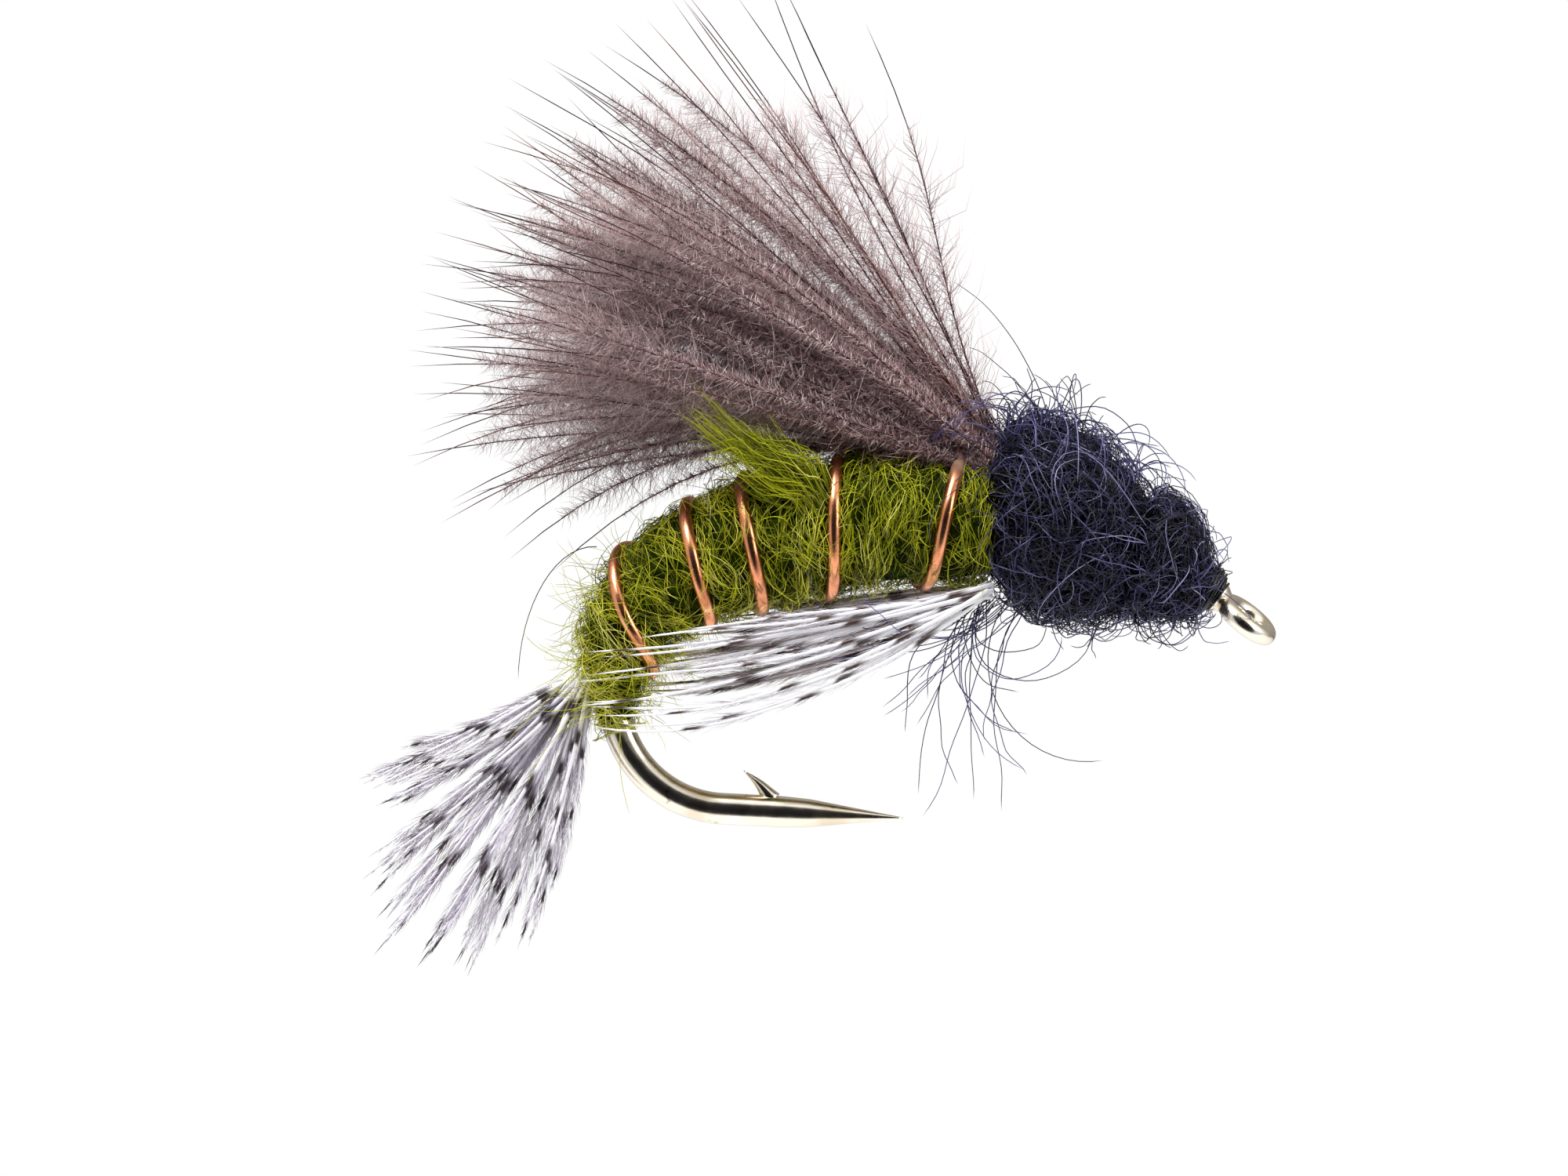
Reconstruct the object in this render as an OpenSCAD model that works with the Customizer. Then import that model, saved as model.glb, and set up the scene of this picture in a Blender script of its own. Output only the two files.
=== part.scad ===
/* [Hook wire] */
// Diameter of the forged hook wire
wire_d = 0.56; // [0.52:0.01:0.57]
// Length of the parallel part of the spear, behind the point's taper
spear_len = 1.2; // [1.0:0.1:1.5]
// Length of the tapered point
point_len = 2.03; // [1.6:0.01:2.2]
// Radius of the point's very tip
point_tip_r = 0.012; // [0.01:0.001:0.03]
// Length of the barb
barb_len = 0.74; // [0.5:0.01:0.8]
// Radius of the barb's root
barb_root_r = 0.15; // [0.1:0.01:0.2]
// Angle of the barb above the spear, measured at its heel
barb_angle = 44; // [30:1:50]
// Distance from the end of the bend to the barb's heel
barb_place = 0.88; // [0.6:0.01:1.1]

/* [Hook eye] */
// Diameter of the wire where it is rolled into the eye
eye_wire_d = 0.34; // [0.3:0.01:0.38]
// Radius of the eye's ring, to the middle of its wire
eye_ring_r = 0.445; // [0.43:0.005:0.46]
// Radius of the hole through the eye, where its burr is reamed to a short land
eye_hole_r = 0.3; // [0.29:0.005:0.32]
// How far the eye points down from the X axis
eye_angle = 38; // [30:1:45]
// Twist of the eye about its own length
eye_twist = 15; // [0:1:20]
// Distance from the eye's centre to the full-thickness wire
neck_len = 0.62; // [0.6:0.01:0.7]

/* [Hook curve] */
// Radius of the short turn from the eye into the shank
turn_r = 1.5; // [1.2:0.1:1.8]
// Radius of the front half of the curved shank
front_r = 13.0; // [12.5:0.1:13.5]
// Radius of the rear half of the curved shank
rear_r = 8.71; // [8.5:0.01:9.0]
// Radius of the drop from the shank into the bend
drop_r = 2.5; // [2.4:0.05:2.6]
// Radius of the bend
bend_r = 2.04; // [1.95:0.01:2.1]

/* [Tying thread] */
// Thickness of one layer of tying thread
thread_t = 0.04; // [0.03:0.005:0.045]
// Thickness of the built-up wraps at the wing
wing_wrap_t = 0.08; // [0.06:0.01:0.08]

/* [Abdomen] */
// Thickness of the copper rib wire
rib_d = 0.25; // [0.2:0.01:0.26]
// How deep the rib sinks into the dubbing, as a share of its thickness
rib_sink = 0.42; // [0.3:0.01:0.6]

/* [Feather fibres] */
// How far the wing's feathers stand to each side of the middle, in degrees
wing_yaw = 9; // [8.5:0.5:10]
// Distance from the middle plane to each bunch of leg fibres, at its root
leg_side = 0.78; // [0.75:0.01:0.85]

/* [Detail] */
// Sides on the wound bodies
winding_sides = 24; // [16:4:28]
// Sides on the feather bunches
bunch_sides = 14; // [10:2:16]

/* [Hidden] */

// Clearance between one wound layer and the next.
fit_gap = 0.01;
wire_r = wire_d / 2;
eye_wire_r = eye_wire_d / 2;
rib_r = rib_d / 2;
// A collar joins two stretches of wire that meet end to end.
collar_t = 0.004;
collar_len = 0.08;
// How far the neck starts inside the ring, and the barb starts inside the spear.
neck_sink = 0.02;
barb_sink = 0.1;
base_in = wire_r + fit_gap;
base_out = base_in + thread_t;
wrap_in = base_out + fit_gap;
butts_t = 0.11;
wing_tie_in = wrap_in + butts_t + fit_gap;
hair_r = 0.045;

nickel = [0.78, 0.75, 0.70];
black_thread = [0.06, 0.06, 0.08];
olive = [0.45, 0.55, 0.08];
olive_light = [0.62, 0.70, 0.15];
copper = [0.80, 0.45, 0.28];
taupe = [0.50, 0.44, 0.43];
barred = [0.82, 0.80, 0.84];
black_fur = [0.10, 0.11, 0.15];

// The hook's centre line is a chain of arcs in the XZ plane, from the eye to the end of the bend.
arc_r = [turn_r, front_r, rear_r, drop_r, bend_r];
arc_turn = [eye_angle - 24.5, 24.5, 24.9, 65.1, 87];
arcs = len(arc_r) - 1;

function total(list, count) = count <= 0 ? 0 : list[count - 1] + total(list, count - 1);
// The wire's slope where arc i starts: positive climbs towards the tail.
function arc_slope(i) = eye_angle - total(arc_turn, i);
function arc_length(i) = arc_r[i] * arc_turn[i] * PI / 180;
function arc_start(i) = i <= 0 ? 0 : arc_start(i - 1) + arc_length(i - 1);
// Outward normal of the wire at a slope, away from the centre of its arc.
function normal(slope) = [sin(slope), 0, cos(slope)];
// Direction of the wire at a slope, towards the tail.
function heading(slope) = [-cos(slope), 0, sin(slope)];
neck_end = -neck_len * [cos(eye_angle), 0, -sin(eye_angle)];
function arc_centre(i) = i == 0
    ? neck_end - arc_r[0] * normal(eye_angle)
    : arc_centre(i - 1) + (arc_r[i - 1] - arc_r[i]) * normal(arc_slope(i));
centres = [for (i = [0:arcs]) arc_centre(i)];
starts = [for (i = [0:arcs]) arc_start(i)];
bend_end_s = starts[arcs] + arc_length(arcs);
function arc_at(s, i = 0) = i == arcs || s < starts[i + 1] ? i : arc_at(s, i + 1);
// Slope and place of the centre line at the distance s along it.
function slope_at(s) = arc_slope(arc_at(s)) - (s - starts[arc_at(s)]) / arc_r[arc_at(s)] * 180 / PI;
function place_at(s) = centres[arc_at(s)] + arc_r[arc_at(s)] * normal(slope_at(s));
// The point r away from the centre line at s, turned by phi from the outer side towards -Y.
function around(s, r, phi) = place_at(s) + r * (cos(phi) * normal(slope_at(s)) + sin(phi) * [0, -1, 0]);

// Where each layer lies, as distances along the centre line.
head_s = [0.02, 1.0];
whip_s = [0.12, 0.34];
lobe_s = 1.72;
butts_s = [2.5, 3.55];
wing_tie_s = [2.9, 3.5];
leg_tie_s = [3.65, 4.1];
waist_s = 4.2;
tail_tie_s = [11.5, 12.1];
base_s = [1.02, 12.5];

// Where the rib crosses the inner and the outer side of the abdomen in turn, from tail to head.
rib_crossings = [12.1, 10.4, 10.02, 9.36, 8.81, 8.43, 7.37, 6.84, 5.4, 4.86];

// Each station of a wound body: distance, inner radius, outer radius, lift of the outside.
abdomen = [
    [waist_s + 0.02, 0.36, 0.92, 0.04], [4.5, 0.36, 1.04, 0.06], [5.0, 0.36, 1.09, 0.06],
    [5.7, 0.36, 1.12, 0.05], [6.5, 0.36, 1.15, 0.04], [7.4, 0.36, 1.18, 0.03],
    [8.2, 0.36, 1.15, 0.02], [9.0, 0.36, 1.09, 0.0], [9.7, 0.36, 1.02, 0.0],
    [10.3, 0.36, 0.95, 0.02], [10.8, 0.37, 0.88, 0.04], [11.2, 0.41, 0.80, 0.05],
    [11.6, 0.41, 0.71, 0.04], [12.0, 0.41, 0.61, 0.02], [12.35, 0.38, 0.51, 0.0],
    [12.7, 0.34, 0.43, -0.02], [12.95, 0.31, 0.36, 0.0]
];
thorax = [
    [lobe_s + 0.03, 0.56, 1.18, 0.08], [1.9, 0.56, 1.34, 0.11], [2.1, 0.56, 1.44, 0.14],
    [2.4, 0.56, 1.54, 0.18], [2.7, 0.56, 1.63, 0.24], [3.0, 0.56, 1.7, 0.28],
    [3.3, 0.56, 1.73, 0.33], [3.6, 0.56, 1.66, 0.41], [3.85, 0.56, 1.55, 0.5],
    [4.05, 0.56, 1.4, 0.56], [waist_s - 0.02, 0.56, 1.28, 0.58]
];
head = [
    [0.26, 0.49, 0.56, 0.0], [0.36, 0.49, 0.6, 0.0], [0.49, 0.49, 0.69, 0.01],
    [0.65, 0.49, 0.82, 0.09], [0.81, 0.49, 0.95, 0.17], [1.0, 0.49, 1.07, 0.2],
    [1.19, 0.49, 1.17, 0.22], [1.4, 0.49, 1.26, 0.2], [1.57, 0.49, 1.3, 0.17],
    [lobe_s - 0.03, 0.49, 1.18, 0.12]
];
head_wraps = [
    [head_s[0], 0.295, 0.32, 0], [0.1, 0.295, 0.37, 0], [0.22, 0.295, 0.4, 0],
    [0.45, 0.295, 0.42, 0], [0.75, 0.295, 0.43, 0], [head_s[1], 0.295, 0.38, 0]
];
knot_wraps = [
    [whip_s[0], 0.405, 0.43, 0], [0.18, 0.415, 0.46, 0], [0.28, 0.425, 0.465, 0], [whip_s[1], 0.43, 0.45, 0]
];

// A feather bunch: share of its length, half of its width, half of its thickness.
feather_shape = [
    [0, 0.05, 0.05], [0.06, 0.14, 0.1], [0.2, 0.44, 0.32], [0.4, 0.86, 0.62],
    [0.6, 1.26, 0.92], [0.78, 1.55, 1.12], [0.9, 1.45, 0.98], [0.97, 1.0, 0.6], [1, 0.4, 0.22]
];
tail_shape = [
    [0, 0.05, 0.05], [0.1, 0.12, 0.1], [0.35, 0.36, 0.26], [0.6, 0.6, 0.42],
    [0.82, 0.76, 0.5], [0.95, 0.6, 0.36], [1, 0.25, 0.15]
];
leg_shape = [
    [0, 0.06, 0.05], [0.08, 0.2, 0.12], [0.25, 0.52, 0.2], [0.45, 0.72, 0.22],
    [0.65, 0.66, 0.2], [0.85, 0.42, 0.14], [1, 0.16, 0.06]
];
tuft_shape = [
    [0, 0.1, 0.08], [0.15, 0.24, 0.14], [0.4, 0.34, 0.2], [0.7, 0.32, 0.2], [0.9, 0.22, 0.13], [1, 0.1, 0.06]
];

// Points where the bunches leave the body, and where they bend.
wing_root = [-4.66, 0, 2.94];
tail_root = [-11.98, 0, -1.22];
leg_root = [-4.95, leg_side, 0.42];
tuft_root = [-7.45, -1.24, 2.08];
// How far from its root each kind of bunch starts.
wing_start = 0.3;
tail_start = 0.35;
leg_start = 0.05;
// Wing feathers from front to back: pitch, side (1 is towards -Y), length, bow, spread.
feathers = [
    [116, 1, 9.0, 0, 0.8], [131, -1, 9.7, 0, 1.05], [149, 1, 9.9, 0.2, 1.1], [166, -1, 9.8, 1.1, 0.95]
];
// Tail bunches from top to bottom: pitch, length, spread.
tails = [[214, 4.4, 1], [236, 5.5, 1], [253, 4.8, 0.75]];
// Long hairs below the thorax: how far back, down and to the side each reaches.
hairs = [
    [2.45, 2.55, 0.35], [1.95, 2.75, -0.3], [1.45, 2.55, -0.05], [0.95, 2.65, 0.4],
    [0.4, 2.5, -0.45], [-0.15, 2.0, 0.15]
];

// Faces of a closed skin over rings of n points each; the ends are flat.
function skin_sides(n, rings) = [
    for (i = [0:rings - 2], k = [0:n - 1])
        each [
            [i * n + k, i * n + (k + 1) % n, (i + 1) * n + k],
            [i * n + (k + 1) % n, (i + 1) * n + (k + 1) % n, (i + 1) * n + k]
        ]
];

module skin(rings) {
    n = len(rings[0]);
    last = (len(rings) - 1) * n;
    start_cap = [[for (k = [n - 1:-1:0]) k]];
    end_cap = [[for (k = [0:n - 1]) last + k]];
    polyhedron([for (ring = rings) each ring], concat(skin_sides(n, len(rings)), start_cap, end_cap));
}

// A closed tube whose inner and outer walls follow the wire.
module sleeve(stations) {
    n = winding_sides;
    outer = [for (st = stations) [for (k = [0:n - 1])
        around(st[0], st[2], k * 360 / n) + st[3] * normal(slope_at(st[0]))]];
    inner = [for (st = stations) [for (k = [0:n - 1]) around(st[0], st[1], k * 360 / n)]];
    loop = concat(outer, [for (i = [len(inner) - 1:-1:0]) inner[i]]);
    rings = len(loop);
    close = [
        for (k = [0:n - 1])
            each [
                [(rings - 1) * n + k, (rings - 1) * n + (k + 1) % n, k],
                [(rings - 1) * n + (k + 1) % n, (k + 1) % n, k]
            ]
    ];
    polyhedron([for (ring = loop) each ring], concat(skin_sides(n, rings), close));
}

// A bunch of fibres: pitch turns it up from +X, yaw turns it towards -Y, and bow bends it down.
module bunch(root, pitch, yaw, start, length, shape, bow = 0, spread = 1) {
    side = [cos(pitch) * cos(yaw), -sin(yaw), sin(pitch) * cos(yaw)];
    across = [-sin(pitch), 0, cos(pitch)];
    thick = cross(side, across);
    rings = [
        for (st = shape)
            let (mid = root + (start + st[0] * length) * side - [0, 0, bow * st[0] * st[0]])
            [for (k = [0:bunch_sides - 1])
                mid + spread * st[1] * cos(k * 360 / bunch_sides) * across
                    + st[2] * sin(k * 360 / bunch_sides) * thick]
    ];
    skin(rings);
}

// A round strand through a list of centres, with a radius at each.
module strand(path, radii, sides) {
    count = len(path) - 1;
    function along(i) = path[min(i + 1, count)] - path[max(i - 1, 0)];
    rings = [
        for (i = [0:count])
            let (
                d = along(i) / norm(along(i)),
                u0 = cross(d, abs(d[1]) > 0.8 ? [1, 0, 0] : [0, 1, 0]),
                u = u0 / norm(u0),
                v = cross(d, u)
            )
            [for (k = [0:sides - 1])
                path[i] + radii[i] * (cos(k * 360 / sides) * u + sin(k * 360 / sides) * v)]
    ];
    skin(rings);
}

// One arc of the centre line carrying a flat profile, whose X points outwards, from s0 to s1.
module arc_sweep(i, s0, s1) {
    a0 = 90 - arc_slope(i) + (s0 - starts[i]) / arc_r[i] * 180 / PI;
    translate(centres[i])
        rotate([90, 0, 0])
        rotate([0, 0, a0])
        rotate_extrude(angle = (s1 - s0) / arc_r[i] * 180 / PI, $fn = 96)
        translate([arc_r[i], 0])
        children();
}

// A profile swept over every arc between two distances.
module sweep(s0, s1) {
    for (i = [0:arcs]) {
        low = max(s0, starts[i]);
        high = min(s1, starts[i] + arc_length(i));
        if (high > low + 0.001) {
            arc_sweep(i, low, high) children();
        }
    }
}

module ring_profile(inner, outer) {
    difference() {
        circle(r = outer, $fn = 40);
        circle(r = inner, $fn = 40);
    }
}

// Turns its children's Z to the wire's heading at s and puts them there.
module on_wire(s) {
    slope = slope_at(s);
    translate(place_at(s))
        rotate([0, atan2(heading(slope)[0], heading(slope)[2]), 0])
        children();
}

// The ring, reamed to its land, and the neck that swells to the full wire.
module eye() {
    rotate([0, eye_angle, 0])
        rotate([eye_twist, 0, 0])
        difference() {
            rotate_extrude($fn = 64) translate([eye_ring_r, 0]) circle(r = eye_wire_r, $fn = 32);
            cylinder(r = eye_hole_r, h = 1, center = true, $fn = 64);
        }
    neck_foot = eye_ring_r - neck_sink;
    rotate([0, eye_angle - 90, 0])
        translate([0, 0, neck_foot])
        cylinder(r1 = eye_wire_r - fit_gap, r2 = wire_r, h = neck_len - neck_foot, $fn = 40);
}

// Straight spear, tapered point and cut barb, from the end of the bend.
module spear() {
    cylinder(r = wire_r, h = spear_len, $fn = 40);
    translate([0, 0, spear_len]) cylinder(r1 = wire_r, r2 = point_tip_r, h = point_len, $fn = 40);
    translate([barb_sink - wire_r, 0, barb_place])
        rotate([0, -barb_angle - 90, 0])
        cylinder(r1 = barb_root_r, r2 = point_tip_r, h = barb_len, $fn = 24);
    translate([0, 0, spear_len]) joint_collar();
}

module joint_collar() {
    cylinder(r = wire_r + collar_t, h = collar_len, center = true, $fn = 40);
}

module hook() {
    color(nickel) union() {
        eye();
        sweep(0, bend_end_s) circle(r = wire_r, $fn = 40);
        for (s = concat(starts, [bend_end_s])) {
            on_wire(s) joint_collar();
        }
        on_wire(bend_end_s) spear();
    }
}

module thread_base() {
    color(black_thread) sweep(base_s[0], base_s[1]) ring_profile(base_in, base_out);
}

module tail_tie_thread() {
    color(black_thread) sweep(tail_tie_s[0], tail_tie_s[1]) ring_profile(wrap_in, wrap_in + thread_t);
}

module wing_butts() {
    color(taupe) sweep(butts_s[0], butts_s[1])
        intersection() {
            ring_profile(wrap_in, wrap_in + butts_t);
            translate([0, -1]) square([1, 2]);
        }
}

module wing_tie_thread() {
    color(black_thread) sweep(wing_tie_s[0], wing_tie_s[1])
        ring_profile(wing_tie_in, wing_tie_in + wing_wrap_t);
}

module leg_tie_thread() {
    color(black_thread) sweep(leg_tie_s[0], leg_tie_s[1]) ring_profile(wrap_in, wrap_in + 2 * thread_t);
}

module head_thread() {
    color(black_thread) sleeve(head_wraps);
}

module whip_finish() {
    color(black_thread) sleeve(knot_wraps);
}

// Outer radius and lift of the abdomen at s, between its stations.
function abdomen_at(s, column) = lookup(s, [for (st = abdomen) [st[0], st[column]]]);

module rib_wire() {
    steps_per_half = 9;
    halves = len(rib_crossings) - 1;
    steps = steps_per_half * halves;
    path = [
        for (i = [0:steps])
            let (
                half = i / steps_per_half,
                s = lookup(half, [for (k = [0:halves]) [k, rib_crossings[k]]]),
                r = abdomen_at(s, 2) + rib_r * (1 - 2 * rib_sink)
            )
            around(s, r, 180 - 180 * half) + abdomen_at(s, 3) * normal(slope_at(s))
    ];
    color(copper) strand(path, [for (p = path) rib_r], 8);
}

module abdomen_dubbing() {
    color(olive) sleeve(abdomen);
}

module dubbing_tuft() {
    color(olive_light) bunch(tuft_root, 146, 10, 0, 3.25, tuft_shape);
}

module thorax_dubbing() {
    color(black_fur) sleeve(thorax);
}

module head_dubbing() {
    color(black_fur) sleeve(head);
}

// Each hair leaves the underside of the thorax and hangs down and back in a slight curve.
module picked_out_hairs() {
    steps = 7;
    color(black_fur)
        for (i = [0:len(hairs) - 1]) {
            root = [-4.62 + 0.16 * i, hairs[i][2] * 0.6, 0.1 - 0.03 * i];
            path = [
                for (k = [0:steps])
                    let (u = k / steps)
                    root + [-hairs[i][0] * u, -hairs[i][2] * u, -hairs[i][1] * pow(u, 0.8)]
            ];
            strand(path, [for (k = [0:steps]) hair_r * (1 - 0.67 * k / steps)], 6);
        }
}

module wing_feather(i) {
    f = feathers[i];
    color(taupe) bunch(wing_root, f[0], f[1] * wing_yaw, wing_start, f[2], feather_shape, f[3], f[4]);
}

module wing_feather_1() {
    wing_feather(0);
}

module wing_feather_2() {
    wing_feather(1);
}

module wing_feather_3() {
    wing_feather(2);
}

module wing_feather_4() {
    wing_feather(3);
}

module tail_fibres(i) {
    color(barred) bunch(tail_root, tails[i][0], 0, tail_start, tails[i][1], tail_shape, 0, tails[i][2]);
}

module tail_fibres_upper() {
    tail_fibres(0);
}

module tail_fibres_middle() {
    tail_fibres(1);
}

module tail_fibres_lower() {
    tail_fibres(2);
}

// One bunch of leg fibres: it sets off down and back, spreads outwards and curves level.
module leg_fibres(side) {
    root = [leg_root[0], side * leg_root[1], leg_root[2]];
    color(barred) bunch(root, 203, -side * 5, leg_start, 7.7, leg_shape, -1.25);
}

module leg_fibres_near() {
    leg_fibres(-1);
}

module leg_fibres_far() {
    leg_fibres(1);
}

hook();
thread_base();
tail_tie_thread();
rib_wire();
abdomen_dubbing();
dubbing_tuft();
wing_butts();
wing_tie_thread();
leg_tie_thread();
thorax_dubbing();
head_dubbing();
picked_out_hairs();
head_thread();
whip_finish();
wing_feather_1();
wing_feather_2();
wing_feather_3();
wing_feather_4();
tail_fibres_upper();
tail_fibres_middle();
tail_fibres_lower();
leg_fibres_near();
leg_fibres_far();
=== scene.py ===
"""Looks of a tied dry fly: a wire hook dressed with thread, dubbing fibres, a copper rib and feather barbs.

Every size and place below is in millimetres in the part's own frame, and Part.make turns it into metres.
Every fibre is a closed, pointed strand. Its "OFBake" UV map holds the share of the fibre's length (U) and
the fibre's own tone (V), and the fibre materials take their colour from those two. Pitches, yaws and slopes
are in degrees, and turns and phi are in radians.
"""

import math

import bpy
import numpy as np
from mathutils import Matrix, Vector


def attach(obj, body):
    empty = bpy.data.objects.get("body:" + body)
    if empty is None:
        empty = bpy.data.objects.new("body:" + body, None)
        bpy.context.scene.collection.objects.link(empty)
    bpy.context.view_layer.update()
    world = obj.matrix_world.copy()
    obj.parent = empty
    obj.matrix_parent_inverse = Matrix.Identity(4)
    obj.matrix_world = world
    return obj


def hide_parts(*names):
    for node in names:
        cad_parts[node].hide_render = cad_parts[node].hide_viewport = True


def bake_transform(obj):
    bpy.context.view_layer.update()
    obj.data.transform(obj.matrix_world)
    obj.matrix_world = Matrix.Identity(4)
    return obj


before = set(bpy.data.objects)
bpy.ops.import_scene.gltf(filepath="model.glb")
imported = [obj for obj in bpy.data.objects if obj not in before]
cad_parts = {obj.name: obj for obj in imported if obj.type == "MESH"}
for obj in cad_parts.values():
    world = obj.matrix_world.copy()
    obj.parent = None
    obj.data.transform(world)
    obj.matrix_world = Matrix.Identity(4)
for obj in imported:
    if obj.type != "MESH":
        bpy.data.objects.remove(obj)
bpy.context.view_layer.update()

MM = 0.001
UV_NAME = "OFBake"
# Half the width of a strand's band across V, so that its faces have some area on the map.
UV_SPREAD = 0.006
# How much of its barb's U a barbule takes up.
BARBULE_U = 0.03
UP = np.array([0.0, 0.0, 1.0])
NEAR = np.array([0.0, -1.0, 0.0])

# The hook, as the CAD part has it. Its angles and the turns of its arcs are in degrees.
WIRE_R = 0.28
EYE_ANGLE = 38.0
EYE_TWIST = 15.0
EYE_RING_R = 0.445
EYE_WIRE_R = 0.17
NECK_LEN = 0.62
ARC_RADII = np.array([1.5, 13.0, 8.71, 2.5, 2.04])
ARC_TURNS = np.array([13.5, 24.5, 24.9, 65.1, 87.0])
ARC_SLOPES = EYE_ANGLE - np.concatenate([[0.0], np.cumsum(ARC_TURNS)])
ARC_STARTS = np.concatenate([[0.0], np.cumsum(ARC_RADII * np.radians(ARC_TURNS))])
BEND_END = ARC_STARTS[-1]
SPEAR_LEN = 1.2
POINT_LEN = 2.03
POINT_TIP_R = 0.012
BARB_LEN = 0.74
BARB_ANGLE = 44.0
BARB_PLACE = 0.88
BARB_ROOT_R = 0.15

# Thread and rib. Places on the wire are distances along it from the end of its neck, as s is everywhere.
THREAD_R = 0.02
RIB_R = 0.125
RIB_SINK = 0.42
RIB_CROSSINGS = [12.1, 10.4, 10.02, 9.36, 8.81, 8.43, 7.37, 6.84, 5.4, 4.86]

# Outside of each wound body: distance along the wire, radius, and lift away from the wire's inner side.
ABDOMEN = np.array([
    [4.22, 0.92, 0.04], [4.5, 1.04, 0.06], [5.0, 1.09, 0.06], [5.7, 1.12, 0.05], [6.5, 1.15, 0.04],
    [7.4, 1.18, 0.03], [8.2, 1.15, 0.02], [9.0, 1.09, 0.0], [9.7, 1.02, 0.0], [10.3, 0.95, 0.02],
    [10.8, 0.88, 0.04], [11.2, 0.8, 0.05], [11.6, 0.71, 0.04], [12.0, 0.61, 0.02], [12.35, 0.51, 0.0],
    [12.7, 0.43, -0.02], [12.95, 0.36, 0.0], [13.2, 0.3, 0.0],
])
THORAX = np.array([
    [1.55, 0.9, 0.1], [1.66, 1.12, 0.1], [1.78, 1.25, 0.1], [1.9, 1.34, 0.11], [2.1, 1.44, 0.14],
    [2.4, 1.54, 0.18], [2.7, 1.63, 0.24], [3.0, 1.7, 0.28], [3.3, 1.73, 0.33], [3.6, 1.66, 0.41],
    [3.85, 1.55, 0.5], [4.05, 1.42, 0.55], [4.2, 1.3, 0.58], [4.32, 1.1, 0.6], [4.42, 0.75, 0.6],
])
HEAD = np.array([
    [0.26, 0.5, 0.0], [0.36, 0.58, 0.0], [0.49, 0.69, 0.01], [0.65, 0.82, 0.09], [0.81, 0.95, 0.17],
    [1.0, 1.07, 0.2], [1.19, 1.17, 0.22], [1.4, 1.26, 0.2], [1.57, 1.3, 0.17], [1.7, 1.18, 0.13],
    [1.8, 0.95, 0.1],
])

# The thorax's packed fur dips here along the wire, on top, under its loose loops.
HOLLOW_PLACE = 2.55
HOLLOW_REACH = 0.65
HOLLOW_DEPTH = 0.32

WING_ROOT = np.array([-4.66, 0.0, 2.94])
TAIL_ROOT = np.array([-11.98, 0.0, -1.22])
LEG_ROOT = np.array([-4.95, 0.78, 0.42])
TUFT_ROOT = np.array([-7.45, -1.24, 2.08])


# ---------------------------------------------------------------- geometry


def unit(vectors):
    """The vectors at length 1."""
    return vectors / np.maximum(np.linalg.norm(vectors, axis=-1, keepdims=True), 1e-12)


def slope_vectors(slope):
    """Heading of the wire away from the eye, and its outward normal, where it slopes by so many degrees."""
    turn = np.radians(slope)
    level = np.zeros_like(turn)
    heading = np.stack([-np.cos(turn), level, np.sin(turn)], -1)
    return heading, np.stack([np.sin(turn), level, np.cos(turn)], -1)


def arc_centres():
    """Centres of the arcs that make the wire's centre line."""
    heading, normal = slope_vectors(EYE_ANGLE)
    centres = [NECK_LEN * heading - ARC_RADII[0] * normal]
    for i in range(1, len(ARC_RADII)):
        centres.append(centres[-1] + (ARC_RADII[i - 1] - ARC_RADII[i]) * slope_vectors(ARC_SLOPES[i])[1])
    return np.array(centres)


CENTRES = arc_centres()


def wire(s):
    """Centre, heading and outward normal of the wire at the distances s. Both ends run on straight."""
    s = np.asarray(s, float)
    heading, normal = slope_vectors(np.interp(s, ARC_STARTS, ARC_SLOPES))
    arc = np.clip(np.searchsorted(ARC_STARTS, s, side="right") - 1, 0, len(ARC_RADII) - 1)
    beyond = np.minimum(s, 0.0) + np.maximum(s - BEND_END, 0.0)
    centre = CENTRES[arc] + ARC_RADII[arc][..., None] * normal + beyond[..., None] * heading
    return centre, heading, normal


def around(s, radius, phi):
    """Points at a distance radius from the wire, turned by phi from its outer side towards the near side."""
    centre, _, normal = wire(s)
    out = np.cos(phi)[..., None] * normal + np.sin(phi)[..., None] * NEAR
    return centre + np.asarray(radius)[..., None] * out


def on_body(body, s, phi, height):
    """Points that stand height above the outside of a wound body."""
    s = np.clip(s, body[0, 0], body[-1, 0])
    radius = np.interp(s, body[:, 0], body[:, 1]) + height
    lift = np.interp(s, body[:, 0], body[:, 2])
    return around(s, radius, phi) + lift[..., None] * wire(s)[2]


def polar(pitch, yaw):
    """Directions at a pitch up from +X and a yaw towards the near side, in degrees."""
    p = np.radians(pitch)
    y = np.radians(yaw)
    return np.stack([np.cos(p) * np.cos(y), -np.sin(y) + 0 * p, np.sin(p) * np.cos(y)], -1)


def any_side(along):
    """A vector at right angles to each direction."""
    helper = np.where(np.abs(along[..., 1:2]) > 0.8, [1.0, 0.0, 0.0], [0.0, 1.0, 0.0])
    return unit(np.cross(along, helper))


def carried_frames(paths):
    """Tangents of the paths and two side vectors, carried along each path without twist."""
    along = unit(np.gradient(paths, axis=1))
    side = any_side(along[:, 0])
    sides = []
    for i in range(paths.shape[1]):
        side = unit(side - np.sum(side * along[:, i], -1, keepdims=True) * along[:, i])
        sides.append(side)
    sides = np.stack(sides, 1)
    return along, sides, np.cross(along, sides)


def shares(stations):
    """Shares of a path's length at its stations, shaped to go with arrays of paths."""
    return np.linspace(0, 1, stations)[None, :, None]


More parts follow.
